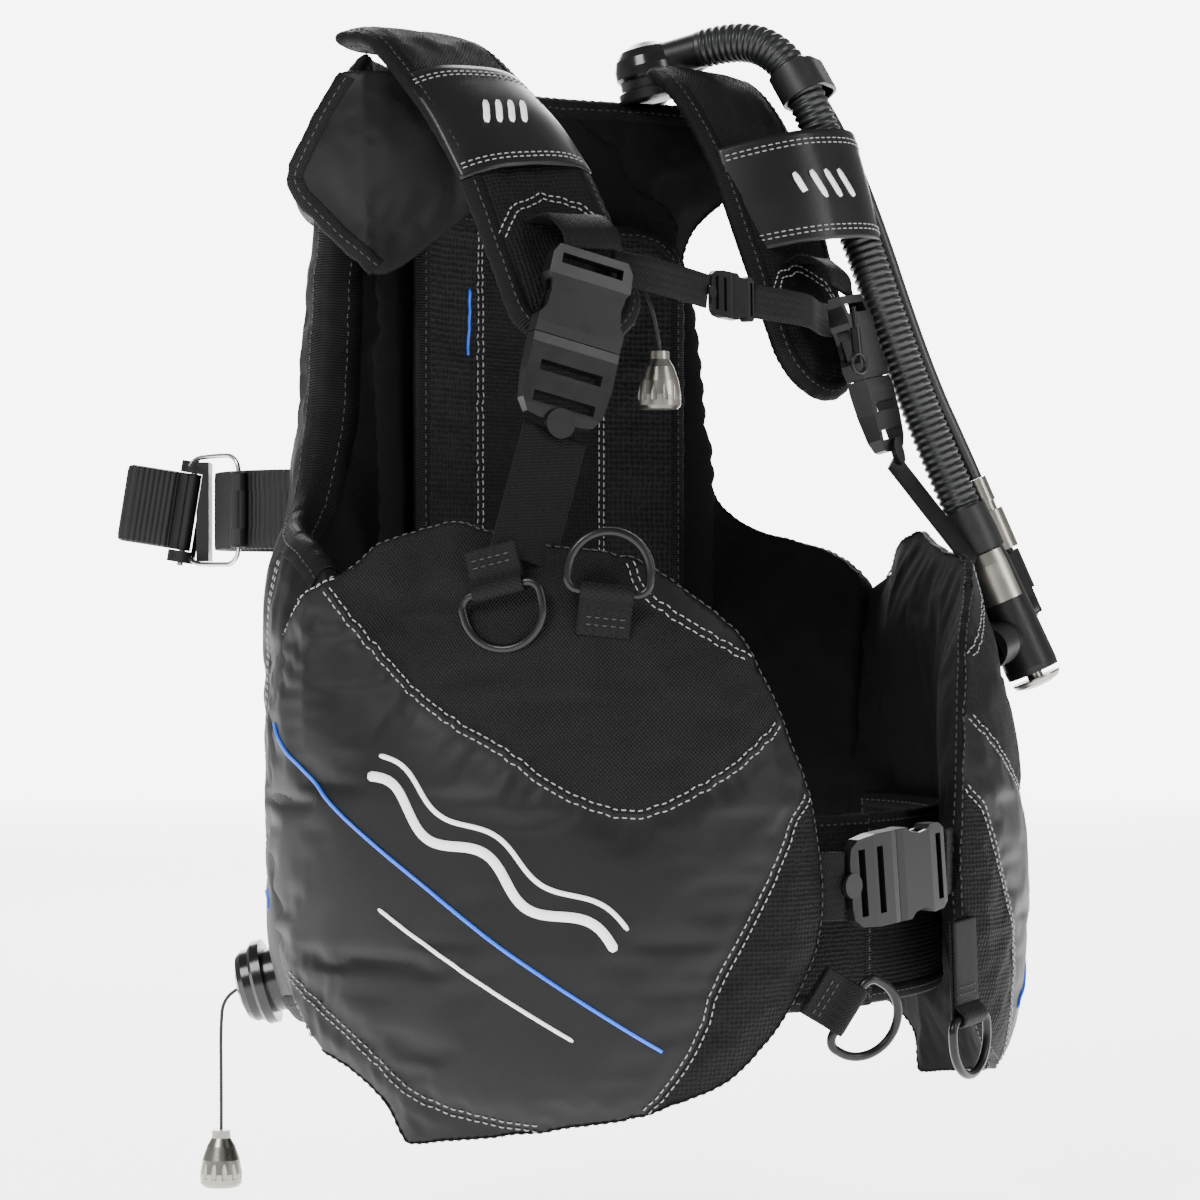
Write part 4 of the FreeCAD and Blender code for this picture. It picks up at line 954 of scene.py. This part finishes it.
# ---------------------------------------------------------------- pads inside the jacket
def back_pad():
    """The mesh pad against the wearer's back."""
    low, high, half = -0.205, 0.235, 0.113
    corner = 0.03
    loop = []
    for cu, cv, start in ((half - corner, low + corner, -90), (half - corner, high - corner, 0),
                          (-half + corner, high - corner, 90), (-half + corner, low + corner, 180)):
        loop += [(cu + corner * math.cos(math.radians(start + a)),
                  cv + corner * math.sin(math.radians(start + a)))
                 for a in (0, 30, 60, 90)]
    loop = np.array(loop)
    middle = 0.052      # half the width of the panel over the spine
    seams = [np.array([(s * middle, low + 0.004), (s * middle, high - 0.004)]) for s in (-1, 1)]
    seams.append(np.array([(-0.05, 0.222), (0.05, 0.222)]))

    def place(u, v):
        x = u * 1000
        y = 90 * np.sqrt(np.clip(1 - (x / 187) ** 2, 0.05, 1))
        normals = np.stack([-x / 187 ** 2, -y / 90 ** 2, np.zeros_like(x)], axis=1)
        return skin_points(x, y, v * 1000), normals

    piece, outer, inner = quilt("back_pad_quilt", "back_pad", loop, [np.concatenate([loop, loop[:1]])], seams,
                                place, lambda u, v: np.full(len(u), 0.009),
                                lambda u, v: 0 if abs(u) > middle else 1, [SPACER, MESH, LINING, BINDING],
                                pinch=0.016, cap=0.004, folds=0.0006)
    for line in seams:
        double_stitch(outer, line)
    bind("back_pad_binding", outer, inner, np.concatenate([loop, loop[:1]]), 1, width=0.009)
    for s in (-1, 1):
        points, normals = outer.line(np.array([(s * 0.0615, 0.148), (s * 0.0615, 0.188)]), 0.0004)
        flat_mark(f"back_pad_stripe_{s + 1}", points, normals, 0.0022, PIPING)


# a collar wing's outline: across the diagonal that its side faces, and its height, in metres
WING = [(-0.176, 0.306), (-0.190, 0.284), (-0.207, 0.252), (-0.209, 0.244), (-0.203, 0.232), (-0.180, 0.208),
        (-0.158, 0.190), (-0.150, 0.189), (-0.138, 0.196), (-0.112, 0.217), (-0.098, 0.228), (-0.098, 0.262),
        (-0.112, 0.296), (-0.128, 0.306)]
WING_FOLD = -0.161


def collar():
    """The flap inside each shoulder: creased down its middle, with a blunt lower tip and a bound edge."""
    for side in (RIGHT, LEFT):
        def place(u, v):
            crease = np.clip(1 - np.abs(u - WING_FOLD) / 0.05, 0, 1) if side == RIGHT else 0 * u
            depth = 0.049 + 0.024 * smoothstep((v - 0.19) / 0.09) + 0.014 * crease
            if side == LEFT:
                u, depth = WING_FOLD + (u - WING_FOLD) / 2, 0.088 + crease
            x, y = -side * math.sqrt(0.5) * (u - depth), math.sqrt(0.5) * (-u - depth)
            lean = np.where(u < WING_FOLD, -0.27, 0.27) * (side == RIGHT)
            across = np.array((-side * math.sqrt(0.5), -math.sqrt(0.5), 0))
            facing = np.array((side * math.sqrt(0.5), -math.sqrt(0.5), 0))
            normals = facing[None] + across[None] * lean[:, None]
            return np.stack([x, y - 0.255, v - 0.057], axis=1), normals / np.linalg.norm(normals,
                                                                                         axis=1)[:, None]

        loop = np.array(WING)
        closed = np.concatenate([loop, loop[:1]])
        crease = np.array([(WING_FOLD, 0.300), (WING_FOLD, 0.196)])
        piece, outer, inner = quilt(f"{NAMES[side]}_collar_wing", "collar_wings", loop, [closed], [crease],
                                    place,
                                    lambda u, v: np.full(len(u), 0.007), lambda u, v: 0,
                                    [SMOOTH, LINING, BINDING],
                                    pinch=0.012, cap=0.003, folds=0.001)
        bind(f"{NAMES[side]}_collar_binding", outer, inner, closed[:7], 1, width=0.011)


def cummerbund(side):
    """One half of the inner waistband."""
    name = NAMES[side] + "_cummerbund"
    shrink = 41 if side == RIGHT else 47
    low, high = pattern([(-4, -231), (89, -121)])
    loop = np.array([(low[0], low[1]), (high[0], low[1]), (high[0], high[1]), (low[0], high[1])])

    def place(u, v):
        angle = u / ARC
        wide, deep = 245 - shrink, 213 - shrink
        x, y = side * wide * np.sin(angle), -deep * np.cos(angle)
        normals = np.stack([side * np.sin(angle) / wide, -np.cos(angle) / deep, np.zeros_like(x)], axis=1)
        return skin_points(x, y, v * 1000), normals

    closed = np.concatenate([loop, loop[:1]])
    _, outer, inner = quilt(name + "_band", name, loop, [closed], [], place,
                            lambda u, v: np.full(len(u), 0.004), lambda u, v: 0, [MESH, MESH, BINDING],
                            spacing=0.009, edge=0.002, pinch=0.008, soft=False, folds=0.0015)
    for k in range(4):
        bind(f"{name}_binding_{k}", outer, inner, closed[k:k + 2], 1, width=0.01, lift=0.0005)


# ---------------------------------------------------------------- hoses and cords
def route_line(points):
    """The smooth line of a cord's route."""
    curve = route_curve("route", points, 0)
    mesh = bpy.data.meshes.new_from_object(curve)
    line = [tuple(v.co) for v in mesh.vertices]
    bpy.data.meshes.remove(mesh)
    bpy.data.objects.remove(curve)
    return line


def route_curve(name, points, radius):
    """A round curve along a cord's route; a radius of 0 gives the bare line."""
    data = bpy.data.curves.new(name, "CURVE")
    data.dimensions = "3D"
    data.resolution_u = 24
    data.bevel_depth = radius
    data.bevel_resolution = 5
    data.use_fill_caps = radius > 0
    spline = data.splines.new("NURBS")
    spline.points.add(len(points) - 1)
    for point, place in zip(spline.points, points):
        point.co = (*place, 1)
    spline.order_u = 3
    spline.use_endpoint_u = True
    made = bpy.data.objects.new(name, data)
    bpy.context.scene.collection.objects.link(made)
    return made


HOSE_ROUTE = [(0.1188, -0.1905, 0.2925), (0.1296, -0.2155, 0.2986), (0.1365, -0.2455, 0.2855),
              (0.144, -0.265, 0.249), (0.154, -0.275, 0.205), (0.161, -0.291, 0.163), (0.167, -0.305, 0.119),
              (0.178, -0.319, 0.069), (0.1925, -0.3345, 0.0176), (0.2044, -0.3464, -0.021)]
FEED_ROUTE = [(0.2178, -0.3342, 0.0186), (0.2105, -0.3269, 0.0423), (0.199, -0.318, 0.073),
              (0.188, -0.305, 0.119),
              (0.18, -0.288, 0.175), (0.169, -0.268, 0.233), (0.156, -0.239, 0.283), (0.15, -0.193, 0.298),
              (0.144, -0.147, 0.284), (0.138, -0.109, 0.244), (0.132, -0.088, 0.193), (0.127, -0.081, 0.143),
              (0.125, -0.079, 0.105)]
LOWER_CORD = [(-0.19418, -0.11336, -0.28591), (-0.20049, -0.10603, -0.29046), (-0.20199, -0.10503, -0.30946),
              (-0.20099, -0.10453, -0.34046), (-0.20149, -0.10503, -0.36946)]
SHOULDER_CORD = [(-0.0766, -0.332, 0.119), (-0.072, -0.3375, 0.105), (-0.071, -0.3385, 0.085)]


def corrugated_hose():
    """The inflator's hose, ringed along its route."""
    path = route_line(HOSE_ROUTE)
    step, pitch, sides = 0.00075, 0.0046, 28
    line = evenly(path, step)
    along = np.gradient(line, axis=0)
    along /= np.linalg.norm(along, axis=1)[:, None]
    side = np.cross(along, (0.6, 0.8, 0))
    side /= np.linalg.norm(side, axis=1)[:, None]
    up = np.cross(side, along)
    at = np.arange(len(line)) * step
    crest = 0.5 + 0.5 * np.cos(2 * math.pi * at / pitch)
    radius = 0.0108 + 0.0016 * crest ** 0.7
    plain = np.minimum(at, at[-1] - at) < 0.004
    radius[plain] = 0.0118
    turns = np.arange(sides) * 2 * math.pi / sides
    ring = line[:, None] + radius[:, None, None] * (side[:, None] * np.cos(turns)[None, :, None]
                                                    + up[:, None] * np.sin(turns)[None, :, None])
    hose = grid("corrugated_tube", ring, RUBBER, around=True)
    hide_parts("corrugated_hose")


def plain_cord(name, node, route, radius, material, body="jacket"):
    """A smooth hose or cord along its route."""
    cord = route_curve(name, route, radius)
    cord.data.materials.append(material)
    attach(cord, body)
    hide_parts(node)


def cords():
    """All hoses and pull cords."""
    corrugated_hose()
    plain_cord("feed_tube", "lp_hose", FEED_ROUTE, 0.00475, FEED)
    plain_cord("lower_cord", "lower_pull_cord", LOWER_CORD, 0.001, SOFT_RUBBER,
               "lower_pull")
    plain_cord("shoulder_cord", "shoulder_pull_cord", SHOULDER_CORD, 0.001, SOFT_RUBBER,
               "shoulder_pull")


# ---------------------------------------------------------------- straps
def blended(name, stations, width, thick, node):
    """A strap riding on no body, its place baked into its mesh, standing in for its hidden CAD node."""
    made, _ = strap(name, stations, width, thick, body=None)
    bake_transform(made)
    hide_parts(node)


def straps():
    """All webbings, the sewn tabs and the carrying handle."""
    web, thick = 0.038, 0.0024
    cross = (-0.927, 0.375, 0)
    blended("right_harness_web", [((-0.193, -0.352, -0.035), cross), ((-0.18511, -0.3492, -0.02084), cross),
                                  ((-0.17328, -0.345, 0.0004), cross), ((-0.15355, -0.338, 0.03581), cross)],
            web, thick, "right_shoulder_webbing")
    cross_left = (-0.927, -0.375, 0)
    blended("left_harness_web", [((0.176, -0.367, -0.035), cross_left),
                                 ((0.16779, -0.36099, -0.02237), cross_left),
                                 ((0.15548, -0.35198, -0.00342), cross_left),
                                 ((0.13497, -0.33697, 0.02816), cross_left)],
            web, thick, "left_shoulder_webbing")
    up = (0, 0, 1)
    blended("chest_web_right", [((-0.106, -0.333, 0.131), up), ((-0.084, -0.345, 0.127), up),
                                ((-0.058, -0.347, 0.123), up), ((-0.04012, -0.34665, 0.12033), up)],
            0.02, 0.0019, "sternum_webbing_right")
    blended("waist_web_left", [((0.112, -0.42, -0.209), up), ((0.072, -0.439, -0.207), up),
                               ((0.04041, -0.4565, -0.20646), up)],
            web, thick, "waist_webbing_left")
    chest, _ = strap("chest_web_left", [((0.00464, -0.34128, 0.11764), up), ((0.05, -0.341, 0.115), up),
                                        ((0.086, -0.321, 0.113), up), ((0.118, -0.302, 0.114), up)], 0.02,
                     0.0019)
    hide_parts("sternum_webbing_left")
    waist, _ = strap("waist_web_right", [((-0.04651, -0.4565, -0.21515), up), ((-0.074, -0.439, -0.215), up),
                                         ((-0.112, -0.42, -0.217), up)], web, thick)
    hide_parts("waist_webbing_right")
    tabs = []
    tabs.append(strap("right_buckle_loop", [((-0.12567, -0.34006, 0.13909), cross),
                                            ((-0.1245, -0.335, 0.1505), cross),
                                            ((-0.1228, -0.319, 0.1595), cross),
                                            ((-0.1212, -0.296, 0.1555), cross)], web * 0.9, thick)[0])
    tabs.append(strap("left_buckle_loop", [((0.1124, -0.31646, 0.13072), cross_left),
                                           ((0.1131, -0.3105, 0.143), cross_left),
                                           ((0.1133, -0.2925, 0.1525), cross_left),
                                           ((0.113, -0.274, 0.149), cross_left)], web * 0.9, thick)[0])
    tail, (points, across, out) = strap("left_web_tail", [((0.213, -0.358, -0.105), (1, 1, 0)),
                                                          ((0.218, -0.361, -0.137), (1, 1, 0)),
                                                          ((0.222, -0.363, -0.169), (1, 1, 0))], web * 0.6,
                                        thick)
    tabs.append(tail)
    for at in (-3, -5):
        line = points[at] + across[at] * np.linspace(-0.01, 0.01, 12)[:, None]
        for turn in (1, -1):
            stitch(line + out[at] * 0.0013 * turn, np.repeat(out[at][None] * turn, 12, axis=0))
    for place, length in ring_places():
        tabs.append(ring_tab(place, length, len(tabs)))
    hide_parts("webbing_tabs")
    handle, _ = strap("carry_strap", [((x, y, 0.127), up) for x, y in
                                      ((-0.076, -0.0971), (-0.06, -0.0968), (-0.036, -0.0939), (0, -0.0935),
                                       (0.036, -0.0939), (0.06, -0.0968), (0.076, -0.0971))], 0.023, thick)
    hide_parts("carry_handle")


def square_axes(x, z):
    """Unit directions x, y, z with z exact and x turned square to it."""
    x, z = np.array(x, float), np.array(z, float)
    z /= np.linalg.norm(z)
    x -= z * (x @ z)
    x /= np.linalg.norm(x)
    return x, np.cross(z, x), z


def lobe_ring(side, turn, height, out, roll):
    """A D-ring's place on a lobe: its origin and its x, y and z directions."""
    share = float(np.interp(height, LOBE_LEVELS[:, 0], LOBE_LEVELS[:, 1]))
    angle, wide, deep = math.radians(turn), 245 * share, 213 * share
    normal = np.array((side * math.sin(angle) / wide, -math.cos(angle) / deep, 0))
    normal /= np.linalg.norm(normal)
    along = np.cross((0, 0, 1), normal)
    tilt = math.radians(roll)
    up = np.array((0, 0, 1.0))
    x, z = along * math.cos(tilt) - up * math.sin(tilt), along * math.sin(tilt) + up * math.cos(tilt)
    origin = torso(side * wide * math.sin(angle), -deep * math.cos(angle), height) + normal * out / 1000
    return origin, x, -normal, z


def ring_places():
    """Each D-ring's place and the length of its webbing tab."""
    return [(lobe_ring(RIGHT, 63, 6, 10.5, -14), 0.024), (lobe_ring(RIGHT, 47, 4, 10.5, 186), 0.024),
            (lobe_ring(LEFT, 80, 20, 11, 14), 0.012),
            ((torso(-47, -205, -226), *square_axes((-0.5, 0, 0.8), (-0.8, 0.2, 0.45))), 0.024),
            ((torso(56, -207, -238), *square_axes((1, 0.25, 0), (-0.05, 0, 1))), 0.056)]


def ring_tab(place, length, number):
    """Webbing folded round a D-ring's bar, its two layers sewn together behind."""
    origin, x, y, z = place
    profile = [(3.85, length * 1000), (3.85, length * 500 + 2), (3.85, 3.0), (3.6, 0), (2.7, -2.7),
               (0, -3.85),
               (-2.7, -2.7), (-3.85, 0), (-2.9, 3.0), (-0.4, 5.6), (1.4, 8.2), (1.55, 11),
               (1.55, length * 1000)]
    stations = [(origin + y * a / 1000 + z * b / 1000, x) for a, b in profile]
    made, _ = strap(f"ring_tab_{number}", stations, 0.0295, 0.0021, spacing=0.0015)
    front = origin + z * min(length * 0.75, 0.016) + y * 0.0004
    for rise in (-0.002, 0.002):
        line = front + z * rise + x * np.linspace(-0.0125, 0.0125, 14)[:, None]
        stitch(line, np.repeat(-y[None], 14, axis=0), DARK_THREAD)
    return made


def tank_band():
    """The tank band, its end sewn round the bail and its tail wrapped on the lever."""
    reach, y = 93.25, -107.25
    point = np.array((59, y + 4))
    lean = math.atan2(point[1], point[0]) + math.acos(reach / np.linalg.norm(point))
    turns = np.linspace(lean, math.pi - lean, 90)
    line = [(reach * math.cos(a), reach * math.sin(a), 0) for a in turns]
    line += [(-59, y, 0), (-30, y, 0), (0, y, 0), (30, y, 0), (59, y, 0)]
    stations = [(np.array(p) / 1000, (0, 0, 1)) for p in line]
    rows = evenly([p for p, _ in stations] + [stations[0][0]], 0.004)[:-1]
    band, _ = strap("band_web", [(p, (0, 0, 1)) for p in rows], 0.05, 0.0025, BAND, closed=True, smooth=False)
    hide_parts("tank_band")
    # the band's end sewn round the wire bail
    angle = math.radians(BAIL_TURN)
    centre = np.array((math.cos(angle), math.sin(angle), 0)) * 0.0994
    out, around = np.array((math.cos(angle), math.sin(angle), 0)), np.array((-math.sin(angle),
                                                                             math.cos(angle), 0))
    loop = [(centre + out * 0.0037 * math.cos(a) + around * 0.0037 * math.sin(a), (0, 0, 1))
            for a in np.linspace(0, 2 * math.pi, 24, endpoint=False)]
    strap("band_fold", loop, 0.048, 0.0028, BAND, closed=True, smooth=False)
    # the band's tail wrapped on the lever
    turn = math.radians(BARREL_TURN)
    x0 = np.array((math.cos(turn), math.sin(turn), 0))
    y0, z0 = np.array((-math.sin(turn), math.cos(turn), 0)), np.array((0, 0, 1.0))
    lean = math.radians(-9)
    x = x0 * math.cos(lean) - z0 * math.sin(lean)
    z = x0 * math.sin(lean) + z0 * math.cos(lean)
    origin = x0 * 0.112
    profile = [(9, 5.9), (20, 5.9), (30, 5.9), (36, 5.8), (39.6, 4.3), (41.2, 0), (39.6, -4.3), (36, -5.8),
               (30, -5.9), (20, -5.9), (9, -5.9)]
    tail, _ = strap("band_tail_web", [(origin + x * a / 1000 + y0 * b / 1000, z) for a, b in profile], 0.049,
                    0.0038,
                    BAND, body="cam_handle")
    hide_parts("band_tail")


BARREL_TURN, BAIL_TURN = 135.0, 178.0

# ---------------------------------------------------------------- finishes of the hard parts
FINISHES = {
    GLOSS: ("elbow_cap", "lower_dump_body", "lower_dump_cap", "inflate_button", "shoulder_dump_valve"),
    MATTE: ("inflator_body", "shoulder_elbow", "cam_buckle", "cam_lever", "backplate"),
    SOFT_RUBBER: ("hose_cuff", "hose_keeper", "mouthpiece"),
    NICKEL: ("inflator_cover", "deflate_button", "lower_pull_knob", "shoulder_pull_knob", "lp_coupling",
             "lp_hose_ferrule", "lp_hose_fitting"),
    STAINLESS: ("cam_bail", "cam_pivot_pin"),
    BUCKLE: tuple(f"{which}_buckle_{half}" for which in ("right", "left", "sternum", "waist")
                  for half in ("prong", "socket")) + ("snap_clip",)
    + tuple(f"{which}_ring" for which in ("right_chest", "right_upper", "left_chest", "right_lower",
                                          "left_lower")),
}


def finish_hard_parts():
    """Gives each CAD part its finish."""
    for material, names in FINISHES.items():
        for name in names:
            mesh = NODES[name].data
            if not mesh.materials:
                mesh.materials.append(material)
            for n in range(len(mesh.materials)):
                mesh.materials[n] = material


# ---------------------------------------------------------------- marks on the lobes
def lobe_marks(side, outer):
    """A lobe's pale piping and its plain printed lines."""
    name = NAMES[side]
    piping = pattern(through([(*p, 0) for p in ((108, -70), (98, -92), (86, -121), (73, -153), (64, -178),
                                                (53, -207), (39, -243))], 6)[:, :2])
    points, _ = outer.line(piping, 0.0004, 0.003)
    cordlet(name + "_piping", points, 0.0011, PIPING)
    start, end = pattern([(84, -108), (47, -199)])
    along = np.linspace(0, 1, 160)
    way = end - start
    sideways = np.array((way[1], -way[0])) / np.linalg.norm(way)
    for n, (shift, swing, width) in enumerate(((0.013, 0.006, 0.0056), (0.026, 0.0042, 0.0028))):
        line = start + way * along[:, None] + sideways * (shift + swing * np.sin(along * 5 * math.pi))[:,
                                                                                                       None]
        places, normals = outer.line(line, 0.0003, 0.002)
        flat_mark(f"{name}_wave_{n}", places, normals, width, PRINT)
    start, end = pattern([(80, -168), (51, -236)])
    places, normals = outer.line(np.array([start, end]), 0.0003, 0.002)
    flat_mark(name + "_line", places, normals, 0.0022, PRINT)


# ---------------------------------------------------------------- the whole vest
cords()
lobe_skins = {side: lobe(side) for side in (RIGHT, LEFT)}
for side, skin in lobe_skins.items():
    lobe_marks(side, skin)
bladder()
back_pad()
collar()
for half in (RIGHT, LEFT):
    cummerbund(half)
    shoulder_pad(half)
sleeves()
straps()
tank_band()
finish_hard_parts()
finish_threads()

# ---------------------------------------------------------------- floor and light
ground = min(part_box(n)[0].z for n in NODES) - 0.03
plane = bpy.data.meshes.new("floor")
plane.from_pydata([(-9, -9, ground), (9, -9, ground), (9, 9, ground), (-9, 9, ground)], [], [(0, 1, 2, 3)])
floor = bpy.data.objects.new("floor", plane)
bpy.context.scene.collection.objects.link(floor)
pale = Finish("floor", (0.93, 0.93, 0.93), 0.9, **{"Emission Color": (1, 1, 1, 1), "Emission Strength": 3.2})
plane.materials.append(pale.material)

world = bpy.data.worlds.new("studio")
world.use_nodes = True
world.node_tree.nodes["Background"].inputs["Color"].default_value = (1, 1, 1, 1)
world.node_tree.nodes["Background"].inputs["Strength"].default_value = 0.4
bpy.context.scene.world = world

# a pale round wall, brightest behind the vest
glow = Finish("wall", (0.05, 0.05, 0.05), 1.0, **{"Emission Color": (1, 1, 1, 1)})
wall_place = glow.add("SeparateXYZ", {0: glow.add("TexCoord").outputs["Object"]})
behind = glow.math("ADD", wall_place.outputs[0], wall_place.outputs[1])
strength = glow.add("MapRange", {0: behind, 1: 6.35, 2: 6.75, 3: 0.4, 4: 7.0},
                    interpolation_type="SMOOTHSTEP")
glow.set(glow.shader, {"Emission Strength": strength.outputs[0]})
wall_points = [[(5 * math.cos(turn), 5 * math.sin(turn), z) for z in (ground, 5)]
               for turn in np.linspace(0, 2 * math.pi, 121)]
grid("wall", wall_points, glow.material, body=None)


def area_light(name, place, target, size, power):
    """A rectangular light that faces its target."""
    light = bpy.data.lights.new(name, "AREA")
    light.shape = "RECTANGLE"
    light.size, light.size_y = size
    light.energy = power
    made = bpy.data.objects.new(name, light)
    made.location = place
    made.rotation_euler = (Vector(target) - Vector(place)).to_track_quat("-Z", "Y").to_euler()
    bpy.context.scene.collection.objects.link(made)


CENTRE = (0, -0.25, -0.06)
area_light("key", (-2.1, -0.5, 1.6), CENTRE, (1.0, 1.0), 75)
area_light("front", (0.5, -2.6, 0.9), CENTRE, (0.6, 1.6), 32)
area_light("back", (1.2, 1.5, 1.5), CENTRE, (1.4, 1.4), 45)
